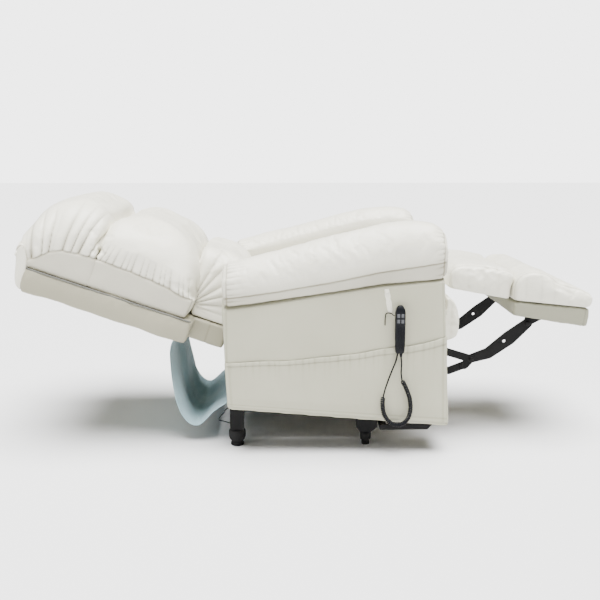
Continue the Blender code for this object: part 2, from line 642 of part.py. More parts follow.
def make_seat():
    deck_z = SEAT_FOOT - GAP - DECK_THICK / 2
    deck_front = SEAT_FRONT_X - 0.020
    box("seat_deck", BOARD, ((DECK_REAR_X + deck_front) / 2, 0.0, deck_z),
        (deck_front - DECK_REAR_X, 2 * SEAT_HALF, DECK_THICK))
    points = [
        (SEAT_REAR_X, SEAT_FOOT), (SEAT_FRONT_X - 0.012, SEAT_FOOT), (SEAT_FRONT_X, SEAT_FOOT + 0.05),
        (SEAT_FRONT_X, SEAT_TOP_FRONT - 0.02), (SEAT_FRONT_X - 0.04, SEAT_TOP_FRONT),
        (SEAT_REAR_X + 0.02, SEAT_TOP_REAR), (SEAT_REAR_X, SEAT_TOP_REAR - 0.012),
    ]
    prism("seat_cushion", LEATHER, points, 0.0, 2 * SEAT_HALF, round_by=0.012, segments=2)
    front = [
        (SEAT_FRONT_X - 0.018, 0.318), (SEAT_FRONT_X + 0.022, 0.318), (SEAT_FRONT_X + 0.040, 0.335),
        (SEAT_FRONT_X + 0.043, 0.400), (SEAT_FRONT_X + 0.032, 0.445), (SEAT_FRONT_X + 0.010, 0.462),
        (SEAT_FRONT_X + GAP, 0.462), (SEAT_FRONT_X + GAP, SEAT_FOOT + 0.0495),
        (SEAT_FRONT_X - 0.0115, SEAT_FOOT - 0.0010), (SEAT_FRONT_X - 0.0115, 0.345),
        (SEAT_FRONT_X - 0.018, 0.345),
    ]
    prism("seat_front", LEATHER, front, 0.0, 2 * SEAT_HALF)


# ---------------------------------------------------------------- backrest
def make_backrest():
    shell_points = [
        along_back(0.0, 0.0), along_back(BACK_LENGTH, 0.0), along_back(BACK_LENGTH + 0.002, SHELL_THICK),
        along_back(0.0, SHELL_THICK),
    ]
    shell = prism("back_shell", PANEL_CLOTH, shell_points, 0.0, BACK_WIDTH, round_by=0.006, segments=1)
    set_origin(shell, BACK_HINGE)

    h = SHELL_THICK + GAP
    half = BACK_WIDTH / 2 - CUSHION_SIDE
    head = [
        along_back(0.335, h), along_back(0.532, h), along_back(0.564, h + 0.008),
        along_back(0.578, h + 0.055), along_back(0.568, h + 0.111), along_back(0.537, h + 0.165),
        along_back(0.470, h + 0.228), along_back(0.405, h + 0.247), along_back(0.360, h + 0.246),
        along_back(0.338, h + 0.225),
    ]
    padded_piece("head_cushion", head, half, 0.05, BACK_HINGE)
    shoulder = [
        along_back(0.030, h), along_back(0.335 - GROOVE, h), along_back(0.338 - GROOVE, h + 0.225),
        along_back(0.302, h + 0.246), along_back(0.245, h + 0.248), along_back(0.175, h + 0.247),
        along_back(0.119, h + 0.238), along_back(0.078, h + 0.218), along_back(0.046, h + 0.150),
        along_back(0.030, h + 0.060),
    ]
    padded_piece("shoulder_cushion", shoulder, half, 0.05, BACK_HINGE)

    low = LOWER_BACK_LENGTH
    panel_points = [
        along_back(-0.003, 0.002), along_back(-0.003, SHELL_THICK - 0.002),
        along_back(-low, SHELL_THICK - 0.002), along_back(-low, 0.002),
    ]
    lower = prism("lower_back_panel", PANEL_CLOTH, panel_points, 0.0, LUMBAR_WIDTH, round_by=0.004,
                  segments=1)
    set_origin(lower, BACK_HINGE)
    lumbar = [
        along_back(-low, h), along_back(0.020, h), along_back(0.020, h + 0.062),
        along_back(0.036, h + 0.152), along_back(0.060, h + 0.205), along_back(0.030, h + 0.218),
        along_back(-0.060, h + 0.220), along_back(-0.110, h + 0.200), along_back(-0.138, h + 0.150),
        along_back(-0.134, h + 0.060),
    ]
    padded_piece("lumbar_cushion", lumbar, LUMBAR_WIDTH / 2, 0.04, BACK_HINGE, (0.97, 0.90))

    frame = cylinder("back_frame", STEEL, (BACK_CROSS[0], -DRIVE_LAYER, BACK_CROSS[1]),
                     (BACK_CROSS[0], DRIVE_LAYER, BACK_CROSS[1]), TORQUE_TUBE_R)
    far = along_back(-0.030, SHELL_THICK * 0.45)
    for _, s in sides():
        plate = outline(ribbon([BACK_HINGE, BACK_CROSS, far], 0.030), s * DRIVE_LAYER, PLATE,
                        ((*BACK_HINGE, PIN_R + PIN_CLEAR),))
        add_boolean(frame, plate, "UNION")
    lug_pair(frame, BACK_CROSS, BACK_ACTUATOR_Y, BACK_EYE)
    set_origin(frame, BACK_HINGE)


# ---------------------------------------------------------------- legrest
def make_legrest():
    hole = PIN_R + PIN_CLEAR
    drive = cylinder("legrest_drive", STEEL, (LEG_DRIVE_PIVOT[0], -DRIVE_LAYER, LEG_DRIVE_PIVOT[1]),
                     (LEG_DRIVE_PIVOT[0], DRIVE_LAYER, LEG_DRIVE_PIVOT[1]), TORQUE_TUBE_R)
    lug_pair(drive, LEG_DRIVE_PIVOT, LEG_ACTUATOR_Y, LEG_EYE)
    for side, s in sides():
        y = s * DRIVE_LAYER
        link = ribbon([LEG_DRIVE_PIVOT, LEG_MAIN_PIVOT], LINK_WIDTH)
        add_boolean(drive, outline(link, y, PLATE), "UNION")
        drill(drive, LEG_DRIVE_PIVOT, s * (DRIVE_LAYER - HALF - 0.0015), s * (DRIVE_LAYER + 0.010), hole)
        pin(drive, LEG_MAIN_PIVOT, y, s * (MAIN_LAYER - HALF))
        main = prism(f"legrest_main_link_{side}", STEEL,
                     ribbon([LEG_MAIN_PIVOT, *MAIN_LINK_BENDS, FOOT_PIVOT], MAIN_LINK_WIDTHS),
                     s * MAIN_LAYER, PLATE)
        tail = outline(ribbon([LEG_MAIN_PIVOT, LEG_LOWER_PIVOT], TAIL_WIDTH), s * MAIN_LAYER, PLATE)
        add_boolean(main, tail, "UNION")
        for place, r in ((LEG_MAIN_PIVOT, hole), (MAIN_LINK_HOLE, MAIN_LINK_HOLE_R)):
            drill(main, place, s * (MAIN_LAYER - 0.010), s * (MAIN_LAYER + 0.010), r)
        pin(main, LEG_LOWER_PIVOT, s * MAIN_LAYER, s * (LOWER_LAYER - HALF))
        pin(main, FOOT_PIVOT, s * MAIN_LAYER, s * (LOWER_LAYER - HALF))
        set_origin(main, LEG_MAIN_PIVOT)
        lower = prism(f"legrest_lower_link_{side}", STEEL,
                      ribbon([LEG_REAR_PIVOT, *LOWER_LINK_BENDS, LEG_LOWER_PIVOT], LINK_WIDTH),
                      s * LOWER_LAYER, PLATE,
                      ((*LEG_REAR_PIVOT, hole), (*LEG_LOWER_PIVOT, LOWER_HOLE_R)))
        set_origin(lower, LEG_REAR_PIVOT)
    set_origin(drive, LEG_DRIVE_PIVOT)
    make_foot_section(hole)


def drill(obj, place, y_from, y_to, r):
    x, z = place
    hole = mesh_object(cylinder_mesh((x, y_from, z), (x, y_to, z), r), "drill")
    return add_boolean(obj, hole, "DIFFERENCE")


def make_foot_section(hole):
    start, end = np.array(FOOT_BOARD_START), np.array(FOOT_BOARD_END)
    middle = (start + end) / 2
    turn = math.atan2(start[1] - end[1], end[0] - start[0])
    board = box("footboard", BOARD, (middle[0], 0.0, middle[1]),
                (float(np.linalg.norm(end - start)), PAD_WIDTH, FOOT_BOARD_THICK), turn, round_by=0.004)
    set_origin(board, FOOT_PIVOT)
    along = (end - start) / np.linalg.norm(end - start)
    down = np.array([along[1], -along[0]])
    strap_thick, strap_wide = 0.003, 0.050
    strap_at = start + along * 0.074 + down * (FOOT_BOARD_THICK / 2 + GAP + strap_thick / 2)
    frame = box("foot_frame", STEEL, (strap_at[0], 0.0, strap_at[1]),
                (strap_wide, 2 * (LOWER_LAYER + HALF), strap_thick), turn)
    top_rear, top_front = strap_at - along * strap_wide / 2, strap_at + along * strap_wide / 2
    lug = [
        tuple(top_rear), tuple(top_front), (FOOT_PIVOT[0] + 0.013, FOOT_PIVOT[1] - 0.006),
        (FOOT_PIVOT[0] + 0.004, FOOT_PIVOT[1] - 0.013), (FOOT_PIVOT[0] - 0.007, FOOT_PIVOT[1] - 0.011),
        (FOOT_PIVOT[0] - 0.013, FOOT_PIVOT[1]),
    ]
    for _, s in sides():
        add_boolean(frame, outline(lug, s * LOWER_LAYER, PLATE, ((*FOOT_PIVOT, hole),)), "UNION")
    set_origin(frame, FOOT_PIVOT)
    foot_ring = [
        (0.644, 0.4515), (0.884, 0.4135), (0.889, 0.4300), (0.8905, 0.4620), (0.862, 0.4830),
        (0.800, 0.5060), (0.727, 0.5400), (0.690, 0.5420), (0.660, 0.5280), (0.640, 0.4900),
    ]
    padded_piece("foot_pad", foot_ring, PAD_WIDTH / 2 + 0.004, 0.03, FOOT_PIVOT)
    mid_ring = [
        (0.443, 0.4870), (0.629, 0.4520), (0.634, 0.4900), (0.650, 0.5260), (0.625, 0.5440),
        (0.560, 0.5560), (0.500, 0.5590), (0.455, 0.5540), (0.441, 0.5300),
    ]
    padded_piece("mid_pad", mid_ring, SEAT_HALF - 0.002, 0.03, PAD_HINGE)


# ---------------------------------------------------------------- rear cover
def make_sling():
    path = [(-0.420, 0.338), (-0.432, 0.300), (-0.426, 0.240), (-0.416, 0.180), (-0.405, 0.125),
            (-0.390, 0.085), (-0.368, 0.060), (-0.345, 0.058), (-0.322, 0.076), (-0.300, 0.098),
            (-0.278, 0.114), (-0.256, 0.128)]
    curve = bpy.data.curves.new("sling", "CURVE")
    curve.dimensions = "2D"
    curve.fill_mode = "NONE"
    curve.extrude = SLING_WIDTH / 2
    spline = curve.splines.new("POLY")
    spline.points.add(len(path) - 1)
    for point, (x, z) in zip(spline.points, path):
        point.co = (x, z, 0.0, 1.0)
    sheet = bpy.data.objects.new("sling", curve)
    sheet.rotation_euler = (math.pi / 2, 0.0, 0.0)
    obj = finish(to_mesh(sheet), "rear_cover", LINER)
    thick = obj.modifiers.new("thickness", "SOLIDIFY")
    thick.thickness = SLING_THICK
    thick.offset = 0.0


# ---------------------------------------------------------------- handset and cord
def make_handset():
    inner = -(PANEL_Y + GAP + POCKET_DEPTH + POCKET_SHEET + 0.0015)
    outer = inner - HANDSET_THICK
    lower_inner = inner - 0.0065
    stations = [
        (HANDSET_FOOT, 0.80, lower_inner, outer + 0.003), (HANDSET_FOOT + 0.008, 0.94, lower_inner, outer),
        (HANDSET_FOOT + 0.034, 1.0, lower_inner, outer), (HANDSET_FOOT + 0.044, 1.0, inner, outer),
        (HANDSET_TOP - 0.020, 1.0, inner, outer), (HANDSET_TOP - 0.007, 0.76, inner - 0.002, outer + 0.004),
        (HANDSET_TOP, 0.45, inner - 0.005, outer + 0.008),
    ]
    bm = bmesh.new()
    rings = []
    for z, share, y_in, y_out in stations:
        half = HANDSET_WIDTH / 2 * share
        corners = ((-half, y_out), (half, y_out), (half, y_in), (-half, y_in))
        rings.append([bm.verts.new((HANDSET_X + x, y, z)) for x, y in corners])
    for one, two in zip(rings, rings[1:]):
        for i in range(4):
            j = (i + 1) % 4
            bm.faces.new((one[i], one[j], two[j], two[i]))
    bm.faces.new(rings[0][::-1])
    bm.faces.new(rings[-1])
    shell = finish(mesh_object(bm, "handset"), "handset", PLASTIC)
    number = 0
    for row in range(2):
        for column in (-1, 1):
            number += 1
            x = HANDSET_X + column * 0.0062
            z = HANDSET_TOP - 0.030 - row * 0.0165
            depth = 0.0035
            cut_box(shell, (x, outer + depth / 2 - 0.005, z),
                    (BUTTON[0] + 2 * BUTTON_CLEAR, depth + 0.010, BUTTON[1] + 2 * BUTTON_CLEAR))
            thick = depth - BUTTON_TRAVEL - 0.0004 + BUTTON_PROUD
            box(f"button_{number}", KEYS, (x, outer - BUTTON_PROUD + thick / 2, z),
                (BUTTON[0], thick, BUTTON[1]))

    strap = ribbon([(0.228, 0.5120), (0.2415, 0.4420)], 0.017, 2)
    prism("handset_strap", LEATHER, strap, -(PANEL_Y + GAP + 0.00125), 0.0025)
    hook_y = -(PANEL_Y + GAP + 0.0025 + 0.0030)
    handset_edge = HANDSET_X - HANDSET_WIDTH / 2
    tube("handset_hook", STEEL, [
        (handset_edge - 0.0010, inner - 0.002, 0.4350), (handset_edge - 0.0050, inner + 0.002, 0.4370),
        (0.2420, hook_y, 0.4410), (0.2340, hook_y, 0.4420), (0.2275, hook_y, 0.4395),
        (0.2255, hook_y, 0.4290), (0.2250, hook_y, 0.4050),
    ], 0.0015, 16)

    gland_z = HANDSET_FOOT + 0.062
    gland_y = -(PANEL_Y + GAP + 0.0053)
    cylinder("cord_gland", PLASTIC, (HANDSET_X - 0.002, gland_y, gland_z),
             (HANDSET_X - 0.002, gland_y, gland_z + 0.009), 0.0048)
    tube("handset_cord_lead", PLASTIC, LEAD_ROUTE, CORD_R, 9)
    tube("handset_cord_curly", PLASTIC, COIL_ROUTE, COIL_R, 22, 3)
    tube("handset_cord_tail", PLASTIC, TAIL_ROUTE, CORD_R, 22)


def smooth_route(points, count):
    """Places at even steps along a smooth curve through the route's points."""
    pts = [np.array(p, float) for p in points]
    padded = [2 * pts[0] - pts[1]] + pts + [2 * pts[-1] - pts[-2]]
    fine = []
    for a, b, c, d in zip(padded, padded[1:], padded[2:], padded[3:]):
        for t in np.linspace(0, 1, 24, endpoint=False):
            fine.append(0.5 * (2 * b + (c - a) * t + (2 * a - 5 * b + 4 * c - d) * t * t
                               + (3 * b - a - 3 * c + d) * t ** 3))
    fine.append(pts[-1])
    fine = np.array(fine)
    run = np.concatenate([[0], np.cumsum(np.linalg.norm(np.diff(fine, axis=0), axis=1))])
    steps = np.linspace(0, run[-1], count)
    return [tuple(float(np.interp(s, run, fine[:, k])) for k in range(3)) for s in steps]


def tube(name, look, points, radius, count, resolution=2):
    """Round wire or cord along a smooth curve through the points."""
    curve = bpy.data.curves.new(name, "CURVE")
    curve.dimensions = "3D"
    curve.bevel_depth = radius
    curve.bevel_resolution = resolution
    curve.use_fill_caps = True
    spline = curve.splines.new("POLY")
    places = smooth_route(points, count)
    spline.points.add(len(places) - 1)
    for point, place in zip(spline.points, places):
        point.co = (*place, 1.0)
    obj = bpy.data.objects.new(name, curve)
    return finish(to_mesh(obj), name, look)


def make_rear_wire():
    tube("rear_wire_loop", STEEL, [
        (-0.2460, -BASE_RAIL_Y, 0.0700), (-0.2650, -BASE_RAIL_Y, 0.0760), (-0.2820, -BASE_RAIL_Y, 0.0800),
        (-0.2790, -BASE_RAIL_Y, 0.0880), (-0.2660, -BASE_RAIL_Y, 0.1040), (-0.2570, -BASE_RAIL_Y, 0.1170),
        (-0.2465, -BASE_RAIL_Y, 0.1200),
    ], 0.0016, 14)


make_base()
make_lift()
make_actuators()
make_body_steel()
make_arms()
make_seat()
make_backrest()
make_legrest()
make_sling()
make_handset()
make_rear_wire()
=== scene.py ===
# %% [markdown]
# # A powered lift recliner, lying back
# The chair is built around its engineering model, which already says where every piece sits and how it
# moves. This lesson adds what the eye sees: stuffed leather, sewn seams and gathers, a curly cord, black
# steel. Everything is in metres, +X the way the sitter faces, +Y the sitter's left, +Z up.

# %% Load the frame
import json
import math

import bmesh
import bpy
import numpy as np
from mathutils import Matrix, Vector

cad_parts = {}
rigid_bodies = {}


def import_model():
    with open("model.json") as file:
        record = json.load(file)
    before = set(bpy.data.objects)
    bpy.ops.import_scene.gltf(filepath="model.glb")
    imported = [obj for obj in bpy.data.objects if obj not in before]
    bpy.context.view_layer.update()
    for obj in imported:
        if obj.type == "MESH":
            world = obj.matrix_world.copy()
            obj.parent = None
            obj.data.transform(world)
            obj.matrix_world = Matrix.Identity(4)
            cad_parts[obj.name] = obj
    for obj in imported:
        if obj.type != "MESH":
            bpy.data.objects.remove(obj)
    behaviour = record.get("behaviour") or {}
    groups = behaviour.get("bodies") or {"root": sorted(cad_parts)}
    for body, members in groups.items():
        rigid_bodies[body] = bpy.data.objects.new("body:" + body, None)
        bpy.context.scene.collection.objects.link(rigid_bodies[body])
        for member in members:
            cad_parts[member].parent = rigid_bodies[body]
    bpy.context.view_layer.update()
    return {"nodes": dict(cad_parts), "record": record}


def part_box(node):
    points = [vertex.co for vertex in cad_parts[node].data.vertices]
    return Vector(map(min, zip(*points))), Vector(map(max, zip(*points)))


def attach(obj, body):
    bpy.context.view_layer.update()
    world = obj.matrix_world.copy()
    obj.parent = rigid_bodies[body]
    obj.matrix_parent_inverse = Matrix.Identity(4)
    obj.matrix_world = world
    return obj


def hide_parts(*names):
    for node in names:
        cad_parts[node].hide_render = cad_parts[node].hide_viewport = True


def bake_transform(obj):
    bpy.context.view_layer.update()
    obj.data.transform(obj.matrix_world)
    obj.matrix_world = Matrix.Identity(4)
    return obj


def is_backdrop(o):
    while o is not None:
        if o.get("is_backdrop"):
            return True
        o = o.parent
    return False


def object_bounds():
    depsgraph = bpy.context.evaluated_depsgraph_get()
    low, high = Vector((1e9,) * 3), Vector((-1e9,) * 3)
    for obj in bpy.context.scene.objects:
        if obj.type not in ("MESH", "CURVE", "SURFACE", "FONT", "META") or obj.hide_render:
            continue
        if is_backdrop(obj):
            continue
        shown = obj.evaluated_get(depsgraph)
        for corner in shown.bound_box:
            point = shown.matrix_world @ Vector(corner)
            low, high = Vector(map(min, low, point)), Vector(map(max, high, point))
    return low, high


bpy.ops.object.select_all(action="SELECT")
bpy.ops.object.delete()
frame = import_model()
bpy.ops.object.select_all(action="DESELECT")

# %% [markdown]
# ## Camera, floor and light
# A catalogue view from the sitter's right, a little above the arms. The lens is a short telephoto, so the
# near arm is only slightly larger than the far one. A broad skylight, one soft lamp and a pale room keep
# the shadows light.

# %% Camera
CAMERA_AT = (-0.0717, -2.9025, 0.9269)
CAMERA_DOWN = math.radians(10.04)
CAMERA_RIGHT = math.radians(1.0)
LENS = 51.84
FILM_WIDTH = 36.0
bpy.ops.object.camera_add(location=CAMERA_AT,
                          rotation=(math.pi / 2 - CAMERA_DOWN, 0.0, -CAMERA_RIGHT))
camera = bpy.context.object
camera.name = "catalogue_camera"
camera.data.lens = LENS
camera.data.sensor_width = FILM_WIDTH
bpy.context.scene.camera = camera

# %% Floor and lamps
FLOOR_SIZE = 40.0
FLOOR_GREY = 0.72
bpy.ops.mesh.primitive_plane_add(size=FLOOR_SIZE, location=(0.0, 0.0, 0.0))
floor = bpy.context.object
floor.name = "studio_floor"
floor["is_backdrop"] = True
floor_paint = bpy.data.materials.new("studio_floor")
floor_paint.use_nodes = True
floor_shader = floor_paint.node_tree.nodes["Principled BSDF"]
floor_shader.inputs["Base Color"].default_value = (FLOOR_GREY, FLOOR_GREY, FLOOR_GREY, 1.0)
floor_shader.inputs["Roughness"].default_value = 0.9
floor.data.materials.append(floor_paint)

world = bpy.data.worlds.new("pale_room")
bpy.context.scene.world = world
world.use_nodes = True
ROOM_LIGHT = 0.22                   # what the room lends to the chair
ROOM_SEEN = 4.2                     # what the camera sees of it
room = world.node_tree
seen = room.nodes.new("ShaderNodeLightPath")
room_level = room.nodes.new("ShaderNodeMapRange")
room_level.inputs[3].default_value = ROOM_LIGHT
room_level.inputs[4].default_value = ROOM_SEEN
room.links.new(seen.outputs["Is Camera Ray"], room_level.inputs[0])
room.nodes["Background"].inputs["Color"].default_value = (1.0, 1.0, 1.0, 1.0)
room.links.new(room_level.outputs[0], room.nodes["Background"].inputs["Strength"])

SKYLIGHT = 15.0
SKYLIGHT_SPREAD = math.radians(50)
SKYLIGHT_TURN = (math.radians(7), math.radians(5), 0.0)
bpy.ops.object.light_add(type="SUN", rotation=SKYLIGHT_TURN)
skylight = bpy.context.object
skylight.name = "skylight"
skylight.data.energy = SKYLIGHT
skylight.data.angle = SKYLIGHT_SPREAD


def soft_lamp(name, place, aim, size, power):
    """Square lamp at place, turned towards aim."""
    way = Vector(aim) - Vector(place)
    turn = way.to_track_quat("-Z", "Y").to_euler()
    bpy.ops.object.light_add(type="AREA", location=place, rotation=turn)
    lamp = bpy.context.object
    lamp.name = name
    lamp.data.size = size
    lamp.data.energy = power


soft_lamp("front_lamp", (-2.4, -2.6, 1.8), (0.0, 0.0, 0.4), 1.6, 25)
print("camera, floor, skylight and a lamp")

# %% [markdown]
# ## Helpers for node trees
# Each finish is a small tree. These functions start a tree and place its nodes, so that a material reads
# as a list of what it does.


# %% Node helpers
def add_node(tree, kind, **settings):
    """New node; names with an underscore in front set sockets by their position."""
    node = tree.nodes.new(kind)
    for key, value in settings.items():
        if key.startswith("_"):
            node.inputs[int(key[1:])].default_value = value
        else:
            setattr(node, key, value)
    return node


def new_group(name, inputs, outputs):
    """Empty shader node group with named sockets, each (name, kind, default)."""
    tree = bpy.data.node_groups.new(name, "ShaderNodeTree")
    for label, kind, default in inputs:
        socket = tree.interface.new_socket(name=label, in_out="INPUT", socket_type=kind)
        socket.default_value = default
    for label, kind in outputs:
        tree.interface.new_socket(name=label, in_out="OUTPUT", socket_type=kind)
    return tree, tree.nodes.new("NodeGroupInput"), tree.nodes.new("NodeGroupOutput")


def new_finish(name, metallic=0.0, specular=0.5, sheen=0.0):
    """Material with a Principled shader whose constant values are set on its own sockets."""
    made = bpy.data.materials.new(name)
    made.use_nodes = True
    shader = made.node_tree.nodes["Principled BSDF"]
    shader.inputs["Metallic"].default_value = metallic
    shader.inputs["Specular IOR Level"].default_value = specular
    shader.inputs["Sheen Weight"].default_value = sheen
    return made, made.node_tree, shader


# %% [markdown]
# ## Upholstery leather
# The real cover is an ivory coated leather: a fine pebble grain under a satin finish and long soft creases
# where it has been pulled. Where the leather is folded, sewn or shaded, a darker, greyer colour is mixed in
# as painted shade. One group makes the grain, the creases, the random tone and the painted shade, so that
# each panel only states its own colours. The painted shade comes from an attribute that the modelling writes
# on the mesh, since only the modelling knows where the leather is gathered.

# %% Leather group
FLOAT, COLOUR, VECTOR = "NodeSocketFloat", "NodeSocketColor", "NodeSocketVector"
leather, group_in, group_out = new_group(
    "leather_surface",
    [("Colour", COLOUR, (0.8, 0.8, 0.8, 1.0)), ("Fold shade colour", COLOUR, (0.5, 0.5, 0.5, 1.0)),
     ("Grain", FLOAT, 0.2), ("Creasing", FLOAT, 0.2), ("Roughness", FLOAT, 0.45)],
    [("Colour", COLOUR), ("Roughness", FLOAT), ("Normal", VECTOR)])
link = leather.links.new
place = add_node(leather, "ShaderNodeTexCoord")
pebbles = add_node(leather, "ShaderNodeTexVoronoi", feature="SMOOTH_F1")
pebbles.inputs["Scale"].default_value = 620.0
link(place.outputs["Object"], pebbles.inputs["Vector"])
pores = add_node(leather, "ShaderNodeTexNoise")
pores.inputs["Scale"].default_value = 1500.0
pores.inputs["Detail"].default_value = 2.0
link(place.outputs["Object"], pores.inputs["Vector"])
creases = add_node(leather, "ShaderNodeTexNoise")
creases.inputs["Scale"].default_value = 26.0
creases.inputs["Detail"].default_value = 5.0
creases.inputs["Roughness"].default_value = 0.62
creases.inputs["Distortion"].default_value = 0.8
link(place.outputs["Object"], creases.inputs["Vector"])
mottle = add_node(leather, "ShaderNodeTexNoise")
mottle.inputs["Scale"].default_value = 5.0
mottle.inputs["Detail"].default_value = 4.0
link(place.outputs["Object"], mottle.inputs["Vector"])
fold = add_node(leather, "ShaderNodeAttribute", attribute_name="fold")
tone = add_node(leather, "ShaderNodeMapRange", _1=0.35, _2=0.75, _3=0.0, _4=0.16)
link(mottle.outputs["Fac"], tone.inputs[0])
# Painted shade: the fold attribute, added to the random tone, mixes the colour towards the fold shade colour.
depth = add_node(leather, "ShaderNodeMath", operation="ADD", use_clamp=True)
link(tone.outputs[0], depth.inputs[0])
link(fold.outputs["Fac"], depth.inputs[1])
colour_mix = add_node(leather, "ShaderNodeMix", data_type="RGBA")
link(depth.outputs[0], colour_mix.inputs[0])
link(group_in.outputs["Colour"], colour_mix.inputs[6])
link(group_in.outputs["Fold shade colour"], colour_mix.inputs[7])
link(colour_mix.outputs[2], group_out.inputs["Colour"])
shine = add_node(leather, "ShaderNodeMapRange", _1=0.0, _2=1.0, _3=-0.06, _4=0.08)
link(creases.outputs["Fac"], shine.inputs[0])
rough_sum = add_node(leather, "ShaderNodeMath", operation="ADD")
link(shine.outputs[0], rough_sum.inputs[0])
link(group_in.outputs["Roughness"], rough_sum.inputs[1])
link(rough_sum.outputs[0], group_out.inputs["Roughness"])
grain_sum = add_node(leather, "ShaderNodeMath", operation="ADD")
link(pebbles.outputs["Distance"], grain_sum.inputs[0])
pore_share = add_node(leather, "ShaderNodeMath", operation="MULTIPLY", _1=0.4)
link(pores.outputs["Fac"], pore_share.inputs[0])
link(pore_share.outputs[0], grain_sum.inputs[1])
grain_bump = add_node(leather, "ShaderNodeBump")
grain_bump.inputs["Distance"].default_value = 0.0006
link(group_in.outputs["Grain"], grain_bump.inputs["Strength"])
link(grain_sum.outputs[0], grain_bump.inputs["Height"])
crease_bump = add_node(leather, "ShaderNodeBump")
crease_bump.inputs["Distance"].default_value = 0.006
link(group_in.outputs["Creasing"], crease_bump.inputs["Strength"])
link(creases.outputs["Fac"], crease_bump.inputs["Height"])
link(grain_bump.outputs["Normal"], crease_bump.inputs["Normal"])
link(crease_bump.outputs["Normal"], group_out.inputs["Normal"])


def leather_finish(name, colour, fold_shade_colour, grain, creasing, roughness):
    """Leather material with its own colour and painted fold-shade colour in the shared group."""
    made, tree, shader = new_finish(name, specular=0.42, sheen=0.06)
    surface = add_node(tree, "ShaderNodeGroup", node_tree=leather)
    surface.inputs["Colour"].default_value = (*colour, 1.0)
    surface.inputs["Fold shade colour"].default_value = (*fold_shade_colour, 1.0)
    surface.inputs["Grain"].default_value = grain
    surface.inputs["Creasing"].default_value = creasing
    surface.inputs["Roughness"].default_value = roughness
    tree.links.new(surface.outputs["Colour"], shader.inputs["Base Color"])
    tree.links.new(surface.outputs["Roughness"], shader.inputs["Roughness"])
    tree.links.new(surface.outputs["Normal"], shader.inputs["Normal"])
    return made


# One ivory leather: the lit colour, plus darker copies with painted shade for the arm sides and pocket, for
# the back tray and lower back, and for the footboard. Each fold colour is painted shade too.
ivory = leather_finish("ivory_leather", (0.79, 0.768, 0.655), (0.22, 0.20, 0.135), 0.22, 0.20, 0.43)
ivory_side_shade = leather_finish("ivory_leather_side_shade", (0.43, 0.42, 0.315), (0.19, 0.185, 0.125),
                             0.25, 0.10, 0.50)
ivory_deep_shade = leather_finish("ivory_leather_deep_shade", (0.31, 0.292, 0.212), (0.15, 0.14, 0.095),
                             0.25, 0.12, 0.52)
board_leather_shaded = leather_finish("board_leather_shaded", (0.27, 0.265, 0.195), (0.13, 0.13, 0.09),
                               0.30, 0.12, 0.58)
print("four leathers share one group")

# %% [markdown]
# ## Black steel, rod steel, plastic, rubber and liner
# The steel is powder coated: nearly black, satin, with a faint orange-peel bump and paler dust in random
# patches.
# The rods are bright drawn steel. Plastics are dark and matt with a fine spark-eroded texture.


# %% Hard finishes
def speckled_finish(name, colour, worn, roughness, scale, bump, metallic=0.0, specular=0.5):
    """Hard material: two tones mixed by noise, uneven roughness and a fine bump."""
    made, tree, shader = new_finish(name, metallic=metallic, specular=specular)
    where = add_node(tree, "ShaderNodeTexCoord")
    fine = add_node(tree, "ShaderNodeTexNoise")
    fine.inputs["Scale"].default_value = scale
    fine.inputs["Detail"].default_value = 3.0
    broad = add_node(tree, "ShaderNodeTexNoise")
    broad.inputs["Scale"].default_value = scale / 40
    broad.inputs["Detail"].default_value = 4.0
    for texture in (fine, broad):
        tree.links.new(where.outputs["Object"], texture.inputs["Vector"])
    spread = add_node(tree, "ShaderNodeMapRange", _1=0.42, _2=0.72, _3=0.0, _4=1.0)
    tree.links.new(broad.outputs["Fac"], spread.inputs[0])
    tones = add_node(tree, "ShaderNodeMix", data_type="RGBA")
    tones.inputs[6].default_value = (*colour, 1.0)
    tones.inputs[7].default_value = (*worn, 1.0)
    tree.links.new(spread.outputs[0], tones.inputs[0])
    tree.links.new(tones.outputs[2], shader.inputs["Base Color"])
    gloss = add_node(tree, "ShaderNodeMapRange", _1=0.3, _2=0.7, _3=roughness - 0.06,
                     _4=roughness + 0.08)
    tree.links.new(broad.outputs["Fac"], gloss.inputs[0])
    tree.links.new(gloss.outputs[0], shader.inputs["Roughness"])
    relief = add_node(tree, "ShaderNodeBump")
    relief.inputs["Strength"].default_value = bump
    relief.inputs["Distance"].default_value = 0.0004
    tree.links.new(fine.outputs["Fac"], relief.inputs["Height"])
    tree.links.new(relief.outputs["Normal"], shader.inputs["Normal"])
    return made


black_steel = speckled_finish("black_powder_coat", (0.003, 0.003, 0.003), (0.007, 0.007, 0.007),
                              0.42, 900, 0.25, specular=0.12)
rod_steel = speckled_finish("drawn_rod_steel", (0.60, 0.60, 0.62), (0.50, 0.50, 0.52),
                            0.24, 700, 0.10, metallic=1.0)
black_plastic = speckled_finish("moulded_black_plastic", (0.004, 0.0045, 0.006), (0.007, 0.008, 0.010),
                                0.38, 1400, 0.30, specular=0.12)
grey_key = speckled_finish("grey_key_plastic", (0.050, 0.053, 0.060), (0.09, 0.095, 0.105),
                           0.30, 1400, 0.20)
cord_jacket = speckled_finish("cord_jacket", (0.004, 0.0045, 0.006), (0.008, 0.009, 0.011),
                              0.42, 1100, 0.15, specular=0.15)
glide_rubber = speckled_finish("glide_rubber", (0.010, 0.010, 0.0105), (0.020, 0.0195, 0.019),
                               0.72, 500, 0.40, specular=0.15)
deck_board = speckled_finish("raw_board", (0.42, 0.31, 0.19), (0.52, 0.40, 0.26), 0.75, 300, 0.50)
# Zip tape, coloured darker still to paint in the shade of the gap under the pillows.
zip_tape_and_gap_shade = speckled_finish("zip_tape_and_gap_shade", (0.10, 0.10, 0.085), (0.15, 0.15, 0.13), 0.70, 1500, 0.60)

